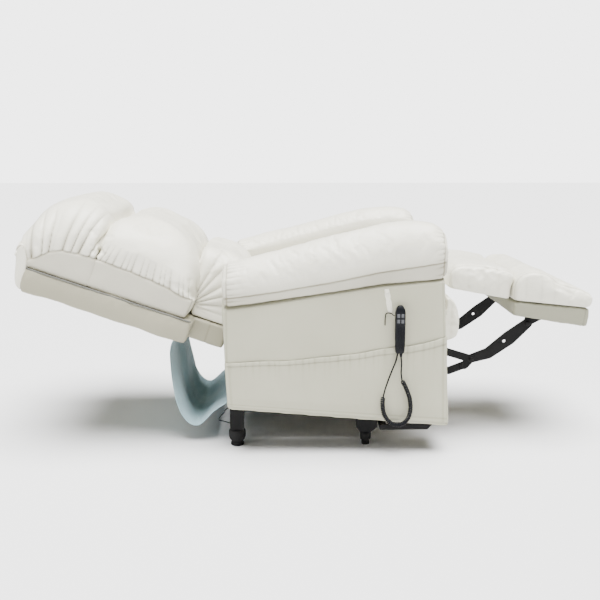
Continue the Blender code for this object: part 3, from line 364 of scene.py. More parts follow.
# %% Liner cloth
liner_cloth, liner_tree, liner_shader = new_finish("liner_cloth", specular=0.25, sheen=0.25)
liner_place = add_node(liner_tree, "ShaderNodeTexCoord")
warp = add_node(liner_tree, "ShaderNodeTexWave", bands_direction="Y")
weft = add_node(liner_tree, "ShaderNodeTexWave", bands_direction="Z")
for yarn in (warp, weft):
    yarn.inputs["Scale"].default_value = 260.0
    yarn.inputs["Distortion"].default_value = 0.6
    liner_tree.links.new(liner_place.outputs["Object"], yarn.inputs["Vector"])
weave = add_node(liner_tree, "ShaderNodeMath", operation="MULTIPLY")
liner_tree.links.new(warp.outputs["Fac"], weave.inputs[0])
liner_tree.links.new(weft.outputs["Fac"], weave.inputs[1])
liner_tone = add_node(liner_tree, "ShaderNodeMix", data_type="RGBA")
liner_tone.inputs[6].default_value = (0.30, 0.45, 0.50, 1.0)
liner_tone.inputs[7].default_value = (0.46, 0.62, 0.66, 1.0)
liner_tree.links.new(weave.outputs[0], liner_tone.inputs[0])
liner_tree.links.new(liner_tone.outputs[2], liner_shader.inputs["Base Color"])
liner_shader.inputs["Roughness"].default_value = 0.78
liner_bump = add_node(liner_tree, "ShaderNodeBump")
liner_bump.inputs["Strength"].default_value = 0.35
liner_bump.inputs["Distance"].default_value = 0.0005
liner_tree.links.new(weave.outputs[0], liner_bump.inputs["Height"])
liner_tree.links.new(liner_bump.outputs["Normal"], liner_shader.inputs["Normal"])
print("hard finishes and liner cloth made")

# %% [markdown]
# ## Tools for stuffed pieces
# A cushion is a sewn bag that foam and fibre push out until the leather is tight. It could be carved by
# hand or made with a subdivision surface, but then every bulge has to be invented. Here the bag is lofted
# slightly too small, remeshed evenly, and blown up by a cloth simulation that holds it where it is sewn or
# rests on something. Seams and gathers are narrower than the mesh of the simulation, so they come after.


# %% Smooth outlines
def smooth_line(points, count, closed=False):
    """Even places along a smooth curve through the points. A point given twice stays a corner."""
    p = np.array(points, float)
    if closed:
        p = np.vstack([p[-1], p, p[0], p[1]])
    else:
        p = np.vstack([2 * p[0] - p[1], p, 2 * p[-1] - p[-2]])
    t = np.linspace(0, 1, 16, endpoint=False)[:, None]
    fine = []
    for a, b, c, d in zip(p, p[1:], p[2:], p[3:]):
        if np.allclose(b, c):
            continue
        before = (c - a) / 2 if not np.allclose(a, b) else (c - b)
        after = (d - b) / 2 if not np.allclose(c, d) else (c - b)
        h1, h2 = 2 * t ** 3 - 3 * t ** 2 + 1, t ** 3 - 2 * t ** 2 + t
        h3, h4 = -2 * t ** 3 + 3 * t ** 2, t ** 3 - t ** 2
        fine.append(h1 * b + h2 * before + h3 * c + h4 * after)
    fine = np.vstack(fine + [p[-2:-1] if not closed else fine[0][:1]])
    run = np.concatenate([[0], np.cumsum(np.linalg.norm(np.diff(fine, axis=0), axis=1))])
    steps = np.linspace(0, run[-1], count + 1)[:-1] if closed else np.linspace(0, run[-1], count)
    return np.stack([np.interp(steps, run, fine[:, k]) for k in range(p.shape[1])], axis=1)


def read_points(piece):
    co = np.empty(len(piece.data.vertices) * 3)
    piece.data.vertices.foreach_get("co", co)
    return co.reshape(-1, 3)


def write_points(piece, co):
    piece.data.vertices.foreach_set("co", co.ravel())
    piece.data.update()


def read_normals(piece):
    n = np.empty(len(piece.data.vertices) * 3)
    piece.data.vertex_normals.foreach_get("vector", n)
    return n.reshape(-1, 3)


def activate(piece):
    bpy.ops.object.select_all(action="DESELECT")
    piece.select_set(True)
    bpy.context.view_layer.objects.active = piece


def apply_all(piece):
    """Applies the piece's modifiers in order."""
    activate(piece)
    for modifier in list(piece.modifiers):
        bpy.ops.object.modifier_apply(modifier=modifier.name)


def loft(name, rings):
    """Closed solid through rings with the same number of points."""
    bm = bmesh.new()
    rows = [[bm.verts.new(p) for p in ring] for ring in rings]
    for one, two in zip(rows, rows[1:]):
        for i in range(len(one)):
            j = (i + 1) % len(one)
            bm.faces.new((one[i], one[j], two[j], two[i]))
    bm.faces.new(rows[0][::-1])
    bm.faces.new(rows[-1])
    bmesh.ops.remove_doubles(bm, verts=bm.verts, dist=1e-5)
    bmesh.ops.recalc_face_normals(bm, faces=bm.faces)
    mesh = bpy.data.meshes.new(name)
    bm.to_mesh(mesh)
    bm.free()
    piece = bpy.data.objects.new(name, mesh)
    bpy.context.scene.collection.objects.link(piece)
    return piece


def shade_round(piece):
    piece.data.polygons.foreach_set("use_smooth", [True] * len(piece.data.polygons))


def unit_grid(name, columns, rows):
    """Flat grid, 1 m square, to be bent into a sheet."""
    bpy.ops.mesh.primitive_grid_add(x_subdivisions=columns, y_subdivisions=rows, size=1.0)
    piece = bpy.context.object
    piece.name = name
    return piece


def thicken(piece, thickness, offset):
    """Gives a sheet its thickness; offset -1 is inwards, 0 to both sides, 1 outwards."""
    wall = piece.modifiers.new("thickness", "SOLIDIFY")
    wall.thickness = thickness
    wall.offset = offset
    apply_all(piece)


def remesh(piece, voxel):
    changer = piece.modifiers.new("even_mesh", "REMESH")
    changer.mode = "VOXEL"
    changer.voxel_size = voxel
    apply_all(piece)
    return piece


def relax(piece, rounds, factor=0.5, held=None):
    """Smooths the mesh; points where held is 1 stay put."""
    co = read_points(piece)
    edges = np.empty(len(piece.data.edges) * 2, int)
    piece.data.edges.foreach_get("vertices", edges)
    a, b = edges.reshape(-1, 2).T
    count = np.bincount(np.r_[a, b], minlength=len(co))[:, None]
    free = 1.0 if held is None else (1 - held)[:, None]
    for _ in range(rounds):
        total = np.zeros_like(co)
        for k in range(3):
            total[:, k] = np.bincount(np.r_[a, b], weights=np.r_[co[b, k], co[a, k]], minlength=len(co))
        co += (total / count - co) * factor * free
    write_points(piece, co)


# %% Blow up a bag
def inflate(piece, held, cap, pressure=4.0, slack=0.0, frames=20):
    """Cloth simulation under pressure. held is 1 where the bag is fixed; no point moves more than cap."""
    before = read_points(piece)
    group = piece.vertex_groups.new(name="held")
    for index in np.nonzero(held > 0.01)[0]:
        group.add([int(index)], float(held[index]), "REPLACE")
    cloth = piece.modifiers.new("stuffing", "CLOTH")
    settings = cloth.settings
    settings.quality = 5
    settings.mass = 0.4
    settings.use_pressure = True
    settings.uniform_pressure_force = pressure
    settings.effector_weights.gravity = 0.0
    settings.vertex_group_mass = "held"
    settings.pin_stiffness = 5.0
    settings.tension_stiffness = 18.0
    settings.compression_stiffness = 18.0
    settings.bending_stiffness = 0.6
    settings.shrink_min = -slack
    cloth.point_cache.frame_start = 1
    cloth.point_cache.frame_end = frames
    for number in range(1, frames + 1):
        bpy.context.scene.frame_set(number)
    done = piece.evaluated_get(bpy.context.evaluated_depsgraph_get())
    after = np.empty(len(before) * 3)
    done.data.vertices.foreach_get("co", after)
    move = after.reshape(-1, 3) - before
    far = np.linalg.norm(move, axis=1)
    move *= np.minimum(1.0, cap / np.maximum(far, 1e-9))[:, None]
    piece.modifiers.remove(cloth)
    piece.vertex_groups.clear()
    bpy.context.scene.frame_set(1)
    write_points(piece, before + move)
    print(piece.name, "swelled", round(float(np.linalg.norm(move, axis=1).mean()) * 1000, 1), "mm on average")


# %% Waves, gathers and fold marks
def waves(co, size, seed):
    """Gentle unevenness between -1 and 1, with bumps about size across."""
    chance = np.random.default_rng(seed)
    total = np.zeros(len(co))
    for _ in range(9):
        way = chance.normal(size=3)
        way *= 2 * math.pi / (size * chance.uniform(0.7, 1.6)) / np.linalg.norm(way)
        total += np.sin(co @ way + chance.uniform(0, 2 * math.pi))
    return total / 4.5


def gathers(along, spacing, seed):
    """Rounded folds with narrow creases between them: 0 in a crease, 1 on a fold."""
    chance = np.random.default_rng(seed)
    shift = np.zeros(len(along))
    for _ in range(4):
        length = spacing * chance.uniform(2.3, 6)
        shift += 0.30 * np.sin(along * 2 * math.pi / length + chance.uniform(0, 6.28))
    return np.abs(np.sin(math.pi * along / spacing + shift)) ** 0.75


def paint_fold_shade(piece, value):
    """Stores painted shade for each point, from 0 to 1, which darkens the leather's colour in folds, seams
    and shaded places.
    """
    data = piece.data.attributes.get("fold") or piece.data.attributes.new("fold", "FLOAT", "POINT")
    data.data.foreach_set("value", np.clip(value, 0, 1).astype(np.float32))


def push(piece, amount):
    """Moves each point along its normal."""
    write_points(piece, read_points(piece) + read_normals(piece) * np.asarray(amount)[:, None])


def step(value, low, high):
    """Smooth rise from 0 at low to 1 at high."""
    t = np.clip((value - low) / (high - low), 0, 1)
    return t * t * (3 - 2 * t)


def dress(piece, body, material, slot, *nodes, fill=None):
    """Last touches on a finished piece: shading, material, body and the solids it stands for. The slot is not
    used.
    """
    piece.data.materials.clear()
    piece.data.materials.append(material)
    shade_round(piece)
    if body:
        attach(piece, body)
    if nodes:
        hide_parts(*nodes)
    print(piece.name, len(piece.data.polygons), "faces")
    return piece


def halve_mesh(piece):
    """One level of subdivision, applied."""
    finer = piece.modifiers.new("finer", "SUBSURF")
    finer.levels = 1
    finer.render_levels = 1
    apply_all(piece)


# %% [markdown]
# ## The lying backrest
# Distances on the back are easiest to give as the upholsterer sees them: how far along the frame from its
# lower corner, and how high off the frame. The head and shoulder pillows share one sewn line along each
# side, where the soft top is gathered into a flat side band. The line rises from the head end, runs level,
# and dips again towards the seat.

# %% Places on the back
BACK_ANGLE = math.radians(18.9)
BACK_FOOT = (-0.378, 0.333)
BACK_LEVEL = 0.0735                 # underside of the pillows, above the frame
PILLOW_HALF = 0.322
SEAM_AT = [-0.1, 0.053, 0.111, 0.224, 0.350, 0.435, 0.468, 0.510, 0.536, 0.6]
SEAM_HEIGHT = [0.135, 0.137, 0.150, 0.160, 0.164, 0.1555, 0.141, 0.105, 0.092, 0.088]


def on_back(distance, height):
    """(x, z) of places given along and above the back."""
    c, s = math.cos(BACK_ANGLE), math.sin(BACK_ANGLE)
    d, h = np.asarray(distance, float), np.asarray(height, float)
    return np.stack([BACK_FOOT[0] - d * c + h * s, BACK_FOOT[1] + d * s + h * c], axis=-1)


def back_place(co):
    """Distance along and height above the back, of points."""
    c, s = math.cos(BACK_ANGLE), math.sin(BACK_ANGLE)
    x, z = co[:, 0] - BACK_FOOT[0], co[:, 2] - BACK_FOOT[1]
    return -x * c + z * s, x * s + z * c


def seam_height(distance):
    return np.interp(distance, SEAM_AT, SEAM_HEIGHT)


# %% [markdown]
# A pillow is lofted across the chair. Below the side seam its outline stays the same all the way, which is
# the flat band; above the seam the outline shrinks in a quarter circle towards each side, so the crown
# closes on the seam as a sewn pillow does.


# %% Loft a pillow
def pillow_rings(outline, half, rounding, floor_of, lean=0.0, stations=30):
    """Rings of a pillow whose part above floor_of(distance) rounds off near both sides."""
    d, h = np.array(outline).T
    base = floor_of(d)
    middle = (d.min() + d.max()) / 2
    sides = np.concatenate([-half + rounding * (1 - np.cos(np.linspace(0, math.pi / 2, stations))),
                            half - rounding * (1 - np.cos(np.linspace(math.pi / 2, 0, stations)))])
    rings = []
    for y in sides:
        t = max(0.0, (abs(y) - (half - rounding)) / rounding)
        rise = math.sqrt(max(0.0, 1 - t ** 2.4))
        height = np.where(h > base, base + (h - base) * rise, h)
        share = np.clip((h - base) / 0.10, 0, 1)
        dist = middle + (d - middle) * (1 - lean * (1 - rise) * share)
        xz = on_back(dist, height)
        rings.append([(x, y, z) for x, z in xz])
    return rings


HEAD_OUTLINE = smooth_line([
    (0.3290, BACK_LEVEL), (0.3290, BACK_LEVEL), (0.470, BACK_LEVEL), (0.531, BACK_LEVEL), (0.531, BACK_LEVEL),
    (0.556, 0.084), (0.569, 0.112), (0.572, 0.150), (0.562, 0.190), (0.540, 0.232), (0.506, 0.269),
    (0.465, 0.292), (0.420, 0.305), (0.385, 0.309), (0.358, 0.304), (0.343, 0.290), (0.3365, 0.262),
    (0.3335, 0.200), (0.3290, 0.150)], 120, closed=True)
SHOULDER_OUTLINE = smooth_line([
    (0.026, BACK_LEVEL), (0.026, BACK_LEVEL), (0.180, BACK_LEVEL), (0.3375, BACK_LEVEL), (0.3375, BACK_LEVEL),
    (0.3375, 0.150), (0.3325, 0.200), (0.330, 0.262), (0.323, 0.289), (0.305, 0.302), (0.270, 0.308),
    (0.225, 0.309), (0.175, 0.307), (0.125, 0.300), (0.085, 0.284), (0.060, 0.261), (0.044, 0.230),
    (0.027, 0.180), (0.017, 0.136)], 130, closed=True)

PILLOW_VOXEL = 0.0065


def make_pillow(name, node, outline, seed, spacing, depth, puff, reach, fan):
    """Head or shoulder pillow, gathered into the seam along both sides."""
    rings = pillow_rings(outline, PILLOW_HALF, 0.15, seam_height, lean=0.05)
    piece = remesh(loft(name, rings), PILLOW_VOXEL)
    relax(piece, 3)
    co = read_points(piece)
    d, h = back_place(co)
    below = 1 - step(h - seam_height(d), -0.004, 0.010)
    at_side = step(np.abs(co[:, 1]), PILLOW_HALF - 0.03, PILLOW_HALF - 0.012)
    base = 1 - step(h, BACK_LEVEL + 0.004, BACK_LEVEL + 0.012)
    inflate(piece, np.clip(np.maximum(below * at_side, base), 0, 1), 0.012, slack=0.02)
    halve_mesh(piece)
    co = read_points(piece)
    d, h = back_place(co)
    over = h - seam_height(d)
    near_side = step(np.abs(co[:, 1]), 0.16, PILLOW_HALF - 0.01)
    fade = np.clip(1 - over / reach, 0, 1) * step(over, -0.002, 0.006)
    lengthwise = d - fan * (d - d.mean()) * np.clip(over, 0, 0.2) / 0.1
    folds = gathers(lengthwise + np.sign(co[:, 1]) * 0.007, spacing, seed)
    coarse = gathers(lengthwise + np.sign(co[:, 1]) * 0.013, 0.075, seed + 1)
    strength = near_side * fade
    dip = (1 - folds) ** 1.6 * depth * strength ** 0.8 + (1 - coarse) * puff * strength ** 0.6 * near_side
    seam = np.exp(-(over / 0.0035) ** 2) * step(np.abs(co[:, 1]), PILLOW_HALF - 0.035, PILLOW_HALF - 0.015)
    loose = waves(co, 0.11, seed + 2) * 0.0022 + waves(co, 0.045, seed + 3) * 0.0006
    loose *= step(h, BACK_LEVEL + 0.01, BACK_LEVEL + 0.05)
    push(piece, loose - dip - seam * 0.0045)
    # Painted shade: darker in the gathers, along the seam, and on the flat side band below it, which the
    # crown shades.
    flat_side = step(np.abs(co[:, 1]), PILLOW_HALF - 0.03, PILLOW_HALF - 0.015)
    side_band_shade = 0.50 * (1 - step(over, -0.006, 0.0)) * flat_side
    paint_fold_shade(piece, 1.2 * (1 - folds) ** 3 * strength ** 0.7 + 0.8 * seam
               + 0.2 * (1 - coarse) ** 3 * strength + side_band_shade)
    dress(piece, "backrest", ivory, "cushion_leather", node, fill=0.7)


make_pillow("head_pillow", "head_cushion", HEAD_OUTLINE, 11, 0.027, 0.0120, 0.006, reach=0.17, fan=0.30)
make_pillow("shoulder_pillow", "shoulder_cushion", SHOULDER_OUTLINE, 23, 0.021, 0.0040, 0.005,
            reach=0.060, fan=-0.25)

# %% [markdown]
# ## Lumbar pillow
# The lumbar part is narrower, because it lies between the arms, and it is drawn into the corner beside the
# arm, so its folds fan out from there rather than running straight up.

# %% Lumbar pillow
LUMBAR_HALF = 0.2300
LUMBAR_OUTLINE = smooth_line([
    (-0.112, BACK_LEVEL), (-0.112, BACK_LEVEL), (0.018, BACK_LEVEL), (0.018, BACK_LEVEL), (0.020, 0.150),
    (0.030, 0.222), (0.046, 0.262), (0.040, 0.284), (0.015, 0.290), (-0.030, 0.288), (-0.070, 0.283),
    (-0.105, 0.264), (-0.128, 0.232), (-0.136, 0.190), (-0.132, 0.130), (-0.122, 0.090)], 110, closed=True)


def flat_floor(distance):
    return np.full(np.shape(distance), 0.150)


def make_lumbar():
    rings = pillow_rings(LUMBAR_OUTLINE, LUMBAR_HALF, 0.085, flat_floor)
    piece = remesh(loft("lumbar_pillow", rings), 0.006)
    relax(piece, 3)
    co = read_points(piece)
    d, h = back_place(co)
    base = 1 - step(h, BACK_LEVEL + 0.004, BACK_LEVEL + 0.014)
    back_face = step(d, -0.002, 0.012)
    side = step(np.abs(co[:, 1]), LUMBAR_HALF - 0.012, LUMBAR_HALF - 0.003)
    inflate(piece, np.clip(base + back_face + side, 0, 1), 0.010, slack=0.02)
    halve_mesh(piece)
    co = read_points(piece)
    d, h = back_place(co)
    corner_d, corner_h = 0.030, 0.105
    angle = np.arctan2(h - corner_h, corner_d - d)
    away = np.hypot(h - corner_h, corner_d - d)
    near_side = step(np.abs(co[:, 1]), 0.07, LUMBAR_HALF - 0.01)
    strength = near_side * np.clip(1.15 - away / 0.22, 0, 1)
    strength = strength * step(h, BACK_LEVEL + 0.01, BACK_LEVEL + 0.04)
    folds = gathers(angle, 0.27, 31)
    loose = waves(co, 0.09, 33) * 0.0022 * step(h, BACK_LEVEL + 0.01, BACK_LEVEL + 0.05)
    push(piece, loose - (1 - folds) * 0.0085 * strength)
    # Painted shade in the creases that fan out from the corner.
    paint_fold_shade(piece, 0.6 * (1 - folds) ** 2 * strength)
    dress(piece, "backrest", ivory, "cushion_leather", "lumbar_cushion", fill=0.6)


make_lumbar()

# %% [markdown]
# ## Back shell, zip and lower back panel
# The hard back is a shallow padded tray. A zip runs round it under the pillows, so the cover can come off;
# from outside it is a thin dark line, and its strip is coloured darker still as painted shade of the gap.
# The tray's cover is pulled over the edge and puckers a little along the zip. Below it, between the arms, a
# narrower panel closes the back. Tray and panel lie in shade, so they take a darker copy of the leather
# with that shade painted in.


# %% Soft-edged blocks
def soft_copy(name, node, voxel, rounds):
    """Evenly meshed, slightly rounded copy of a solid from the frame."""
    source = frame["nodes"][node]
    mesh = source.data.copy()
    piece = bpy.data.objects.new(name, mesh)
    bpy.context.scene.collection.objects.link(piece)
    bm = bmesh.new()
    bm.from_mesh(mesh)
    bmesh.ops.remove_doubles(bm, verts=bm.verts, dist=1e-5)
    bm.to_mesh(mesh)
    bm.free()
    remesh(piece, voxel)
    relax(piece, rounds)
    return piece


ZIP_LEVEL = 0.066
shell = soft_copy("back_tray", "back_shell", 0.0055, 6)
co = read_points(shell)
d, h = back_place(co)
outer = np.maximum(step(np.abs(co[:, 1]), 0.315, 0.325), step(d, 0.508, 0.516))
puckers = gathers(d + co[:, 1] * 0.7, 0.034, 41)
hem = np.exp(-((h - 0.060) / 0.008) ** 2) * outer
sag = waves(co, 0.14, 42) * 0.0022 + waves(co, 0.05, 43) * 0.0007
belly = 0.003 * np.sin(np.clip(h / ZIP_LEVEL, 0, 1) * math.pi) * outer
push(shell, sag + belly - (1 - puckers) * 0.0022 * hem)
halve_mesh(shell)
co = read_points(shell)
d, h = back_place(co)
# Painted shade: a darker line on the lip beside the zip, where the pillows overhang the tray.
lip_shade = np.clip(1 - np.abs(h - 0.071) / 0.003, 0, 1)
paint_fold_shade(shell, 0.5 * lip_shade)
dress(shell, "backrest", ivory_deep_shade, "panel_leather", "back_shell", fill=0.8)

LOWER_BACK_SPREAD = 0.2398 / 0.231    # the cover takes in the steel hinge plates on both sides
lower_back = soft_copy("lower_back_cover", "lower_back_panel", 0.005, 5)
co = read_points(lower_back)
co[:, 1] *= LOWER_BACK_SPREAD
d, h = back_place(co)
reach_in = 0.016 * step(d, -0.040, -0.006)
co[:, 0] -= math.cos(BACK_ANGLE) * reach_in
co[:, 2] += math.sin(BACK_ANGLE) * reach_in
write_points(lower_back, co)
d, h = back_place(co)
crease = np.exp(-((d + 0.052) / 0.004) ** 2)
push(lower_back, waves(co, 0.07, 44) * 0.0015 - crease * 0.0015)
halve_mesh(lower_back)
co = read_points(lower_back)
d, h = back_place(co)
# Painted shade in the crease across the lower back panel.
paint_fold_shade(lower_back, 0.4 * np.exp(-((d + 0.052) / 0.003) ** 2))
dress(lower_back, "backrest", ivory_deep_shade, "panel_leather", "lower_back_panel", fill=0.8)


# %% Head end panel
END_OUTLINE = smooth_line([
    (0.519, 0.0035), (0.519, 0.0035), (0.530, 0.0035), (0.544, 0.020), (0.556, 0.052), (0.5645, 0.086),
    (0.5705, 0.120), (0.556, 0.138), (0.538, 0.120), (0.526, 0.090), (0.520, 0.060)], 70, closed=True)
end_rings = []
for y in np.linspace(-0.3265, 0.3265, 60):
    tight = 1 - 0.20 * np.clip((abs(y) - 0.300) / 0.0265, 0, 1) ** 2
    xz = on_back(0.519 + (END_OUTLINE[:, 0] - 0.519) * tight, END_OUTLINE[:, 1])
    end_rings.append([(x, y, z) for x, z in xz])
end_panel = remesh(loft("head_end_panel", end_rings), 0.005)
relax(end_panel, 3)
halve_mesh(end_panel)
co = read_points(end_panel)
d, h = back_place(co)
outer = step(d, 0.526, 0.536)
end_folds = gathers(co[:, 1] + 0.15 * (0.12 - h) * np.sign(co[:, 1]), 0.033, 47)
corner = np.exp(-((np.abs(co[:, 1]) - (0.318 - 0.10 * (0.12 - h))) / 0.003) ** 2) * outer
push(end_panel, waves(co, 0.08, 48) * 0.0015 * outer - (1 - end_folds) ** 1.6 * 0.0050 * outer
     - corner * 0.003)
# Painted shade in the gathers and along the corners of the head end panel.
paint_fold_shade(end_panel, (1.1 * (1 - end_folds) ** 3 + 0.6 * corner) * outer)
dress(end_panel, "backrest", ivory, "cushion_leather", fill=0.6)

# %% Zip round the tray
def ribbon_mesh(name, path, across, thick):
    """Closed strip: path gives its middle, across the half-width as a vector for each place."""
    path, across = np.array(path, float), np.array(across, float)
    run = np.gradient(path, axis=0)
    out = np.cross(run, across)
    out /= np.linalg.norm(out, axis=1)[:, None]
    out *= thick / 2
    rings = []
    for p, a, o in zip(path, across, out):
        rings.append([tuple(p + a + o), tuple(p - a + o), tuple(p - a - o), tuple(p + a - o)])
    return loft(name, rings)


def zip_path():
    """Runs up one side, round the head end and down the other side."""
    places = []
    for dist in np.linspace(0.004, 0.515, 60):
        places.append((dist, -0.3282))
    for y in np.linspace(-0.320, 0.320, 50):
        places.append((0.5205, y))
    for dist in np.linspace(0.515, 0.004, 60):
        places.append((dist, 0.3282))
    return places


ZIP_HALF = 0.0024
zip_places = zip_path()
zip_line = [(*on_back(dist, 0.0728), y) for dist, y in zip_places]
zip_middle = [(x, y, z) for x, z, y in zip_line]
up = on_back(0.0, 1.0) - on_back(0.0, 0.0)
zip_across = [(up[0] * ZIP_HALF, 0.0, up[1] * ZIP_HALF)] * len(zip_middle)
# The zip strip is darker than tape alone: it also carries painted shade of the gap.
back_zip = ribbon_mesh("back_zip", zip_middle, zip_across, 0.0022)
dress(back_zip, "backrest", zip_tape_and_gap_shade, "panel_leather")
print("back dressed")

# %% [markdown]
# ## Padded arms
# Each arm is a firm box with a fat roll laid along its top. The roll overhangs the side: its cover is sewn
# along the widest line, turns under, and meets the side panel at a second seam in the shadow. The rolls are
# lofted along the arm from a rounded cross-section whose place and height change from rear to front.

# %% Arm measures
ARM_INNER = 0.2460
ARM_OUTER = 0.4005
PANEL_Y = 0.3850
ROLL_X = [-0.259, -0.243, -0.207, 0.063, 0.228, 0.317, 0.369, 0.398, 0.411]
ROLL_TOP = [0.571, 0.586, 0.590, 0.660, 0.700, 0.708, 0.702, 0.684, 0.650]
SEAM_X = [-0.262, -0.087, 0.060, 0.206, 0.400, 0.415]
ROLL_SEAM = [0.484, 0.507, 0.533, 0.563, 0.592, 0.594]
PANEL_SEAM = [0.451, 0.474, 0.499, 0.519, 0.538, 0.539]


def roll_section(x, shrink):
    """(y, z) outline of the roll at x, for the arm at +Y, drawn in by shrink from 1 to 0."""
    seam = float(np.interp(x, SEAM_X, ROLL_SEAM))
    under = float(np.interp(x, SEAM_X, PANEL_SEAM)) + 0.004
    top = float(np.interp(x, ROLL_X, ROLL_TOP))
    inner, outer = ARM_INNER, ARM_OUTER
    mid_z = (seam + top) / 2
    points = [
        (inner, seam + 0.006), (inner, seam + 0.006), (inner + 0.0010, mid_z + 0.012),
        (inner + 0.016, top - 0.019), (inner + 0.045, top - 0.004), (inner + 0.080, top),
        (inner + 0.116, top - 0.007),
        (outer - 0.012, top - 0.034), (outer - 0.001, mid_z + 0.006), (outer - 0.001, seam + 0.010),
        (outer - 0.006, seam - 0.010), (PANEL_Y - 0.0035, under), (PANEL_Y - 0.0035, under),
        (PANEL_Y - 0.030, under), (PANEL_Y - 0.030, under), (PANEL_Y - 0.034, seam + 0.006),
        (PANEL_Y - 0.034, seam + 0.006)]
    ring = smooth_line(points, 90, closed=True)
    centre = np.array([(inner + outer) / 2, mid_z])
    return centre + (ring - centre) * shrink


def make_roll(side, seed):
    s = -1 if side == "right" else 1
    ends = 0.020
    stations = np.linspace(-0.2575, 0.4095, 64)
    rings = []
    for x in stations:
        near_end = min(x - stations[0], stations[-1] - x)
        t = max(0.0, 1 - near_end / ends)
        shrink = 1 - 0.16 * (1 - math.sqrt(max(0.0, 1 - t * t)))
        rings.append([(x, s * y, z) for y, z in roll_section(x, shrink)])
    piece = remesh(loft(f"arm_roll_cover_{side}", rings), 0.0055)
    relax(piece, 4)
    co = read_points(piece)
    y, seam = np.abs(co[:, 1]), np.interp(co[:, 0], SEAM_X, ROLL_SEAM)
    at_inner = 1 - step(y, ARM_INNER + 0.001, ARM_INNER + 0.010)
    held = np.clip(1 - step(co[:, 2] - seam, 0.000, 0.016) + at_inner, 0, 1)
    inflate(piece, held, 0.006, slack=0.012)
    halve_mesh(piece)
    co = read_points(piece)
    x, y, z = co[:, 0], np.abs(co[:, 1]), co[:, 2]
    seam = np.interp(x, SEAM_X, ROLL_SEAM)
    sewn = np.exp(-((z - seam) / 0.0026) ** 2) * step(y, ARM_OUTER - 0.03, ARM_OUTER - 0.008)
    front = np.exp(-((x - 0.3985) / 0.0026) ** 2)
    rear = np.exp(-((x + 0.2465) / 0.0026) ** 2)
    rear_pull = np.clip(1 - (x + 0.247) / 0.075, 0, 1) * step(x, -0.249, -0.240)
    front_pull = np.clip(1 - (0.398 - x) / 0.035, 0, 1) * (1 - step(x, 0.396, 0.400))
    turn = np.arctan2(z - (seam + 0.045), y - 0.325) * 0.075
    folds = gathers(turn, 0.0175, seed)
    pulled = rear_pull ** 1.5 + 0.95 * front_pull ** 1.3
    under = gathers(x, 0.040, seed + 1)
    seam_pull = np.exp(-(np.abs(z - seam) / 0.016) ** 1.5) * step(y, ARM_OUTER - 0.03, ARM_OUTER - 0.008)
    loose = waves(co, 0.16, seed + 2) * 0.0018 + waves(co, 0.05, seed + 3) * 0.0005
    push(piece, loose - (1 - folds) * 0.0032 * pulled - sewn * 0.0028 - (front + rear) * 0.0028
         - (1 - under) * 0.0013 * seam_pull)
    # Painted shade: darker under the roll where it turns in towards the side panel, and in the seams and
    # pulled folds.
    shade = 0.28 * (1 - step(z - seam, -0.004, 0.040)) + 0.22 * (1 - step(z - seam, -0.006, 0.0))
    under_roll_shade = shade * step(y, ARM_OUTER - 0.05, ARM_OUTER - 0.03)
    paint_fold_shade(piece, 0.65 * sewn + 0.50 * (front + rear) + 0.7 * (1 - folds) ** 2 * pulled
               + under_roll_shade)
    dress(piece, "chair_body", ivory, "cushion_leather", f"arm_roll_{side}", fill=0.8)


make_roll("right", 51)
make_roll("left", 61)

# %% [markdown]
# The box of the arm is upholstered flat, over a thin layer of wadding. Its cover is one smooth panel with a
# sewn edge all round, very slightly proud in the middle, and loose enough to show a few broad ripples.


# %% Arm boxes
def make_arm_box(side, seed):
    s = -1 if side == "right" else 1
    piece = soft_copy(f"arm_cover_{side}", f"arm_{side}", 0.0065, 5)
    co = read_points(piece)
    x, y, z = co[:, 0], np.abs(co[:, 1]), co[:, 2]
    top = np.interp(x, SEAM_X, PANEL_SEAM)
    face = step(y, PANEL_Y - 0.006, PANEL_Y - 0.001)
    foot = np.interp(x, [-0.248, 0.427], [0.144, 0.087])
    inset = np.minimum.reduce([x + 0.250, 0.420 - x, top - z, z - foot])
    swell = step(inset, 0.002, 0.05) * 0.0022
    ripple = waves(co * [1.0, 1.0, 0.35], 0.16, seed) * 0.0016 + waves(co, 0.06, seed + 1) * 0.0004
    tight = step(inset, 0.0, 0.05)
    pull = gathers(x, 0.034, seed + 2)
    seam_pull = np.exp(-(np.clip(top - z, 0, 1) / 0.020) ** 1.3)
    push(piece, face * (swell + ripple * tight - (1 - pull) * 0.0011 * seam_pull))
    co = read_points(piece)
    recess = step(co[:, 2] - np.interp(co[:, 0], SEAM_X, PANEL_SEAM), -0.004, 0.010)
    out = step(np.abs(co[:, 1]), 0.340, 0.345)
    co[:, 1] -= s * 0.034 * recess * out
    write_points(piece, co)
    halve_mesh(piece)
    co = read_points(piece)
    x, y, z = co[:, 0], np.abs(co[:, 1]), co[:, 2]
    top = np.interp(x, SEAM_X, PANEL_SEAM)
    face = step(y, PANEL_Y - 0.008, PANEL_Y - 0.003)
    front_seam = np.exp(-((x - np.interp(z, [0.087, 0.59], [0.419, 0.392])) / 0.0022) ** 2) * face
    rear_seam = np.exp(-((x + 0.2475) / 0.0022) ** 2) * face
    hem = np.exp(-((z - np.interp(x, [-0.248, 0.427], [0.153, 0.096])) / 0.0022) ** 2) * face
    push(piece, -(front_seam + rear_seam) * 0.0015 - hem * 0.0010)
    # Painted shade along the seams, the hem and the top seam under the roll's overhang. The panel takes the
    # leather copy with painted side shade.
    top_seam_shade = np.exp(-((top - z) / 0.003) ** 2) * face
    paint_fold_shade(piece, 0.45 * (front_seam + rear_seam) + 0.30 * hem + 0.5 * top_seam_shade)
    dress(piece, "chair_body", ivory_side_shade, "panel_leather", f"arm_{side}", fill=0.9)


make_arm_box("right", 71)
make_arm_box("left", 81)

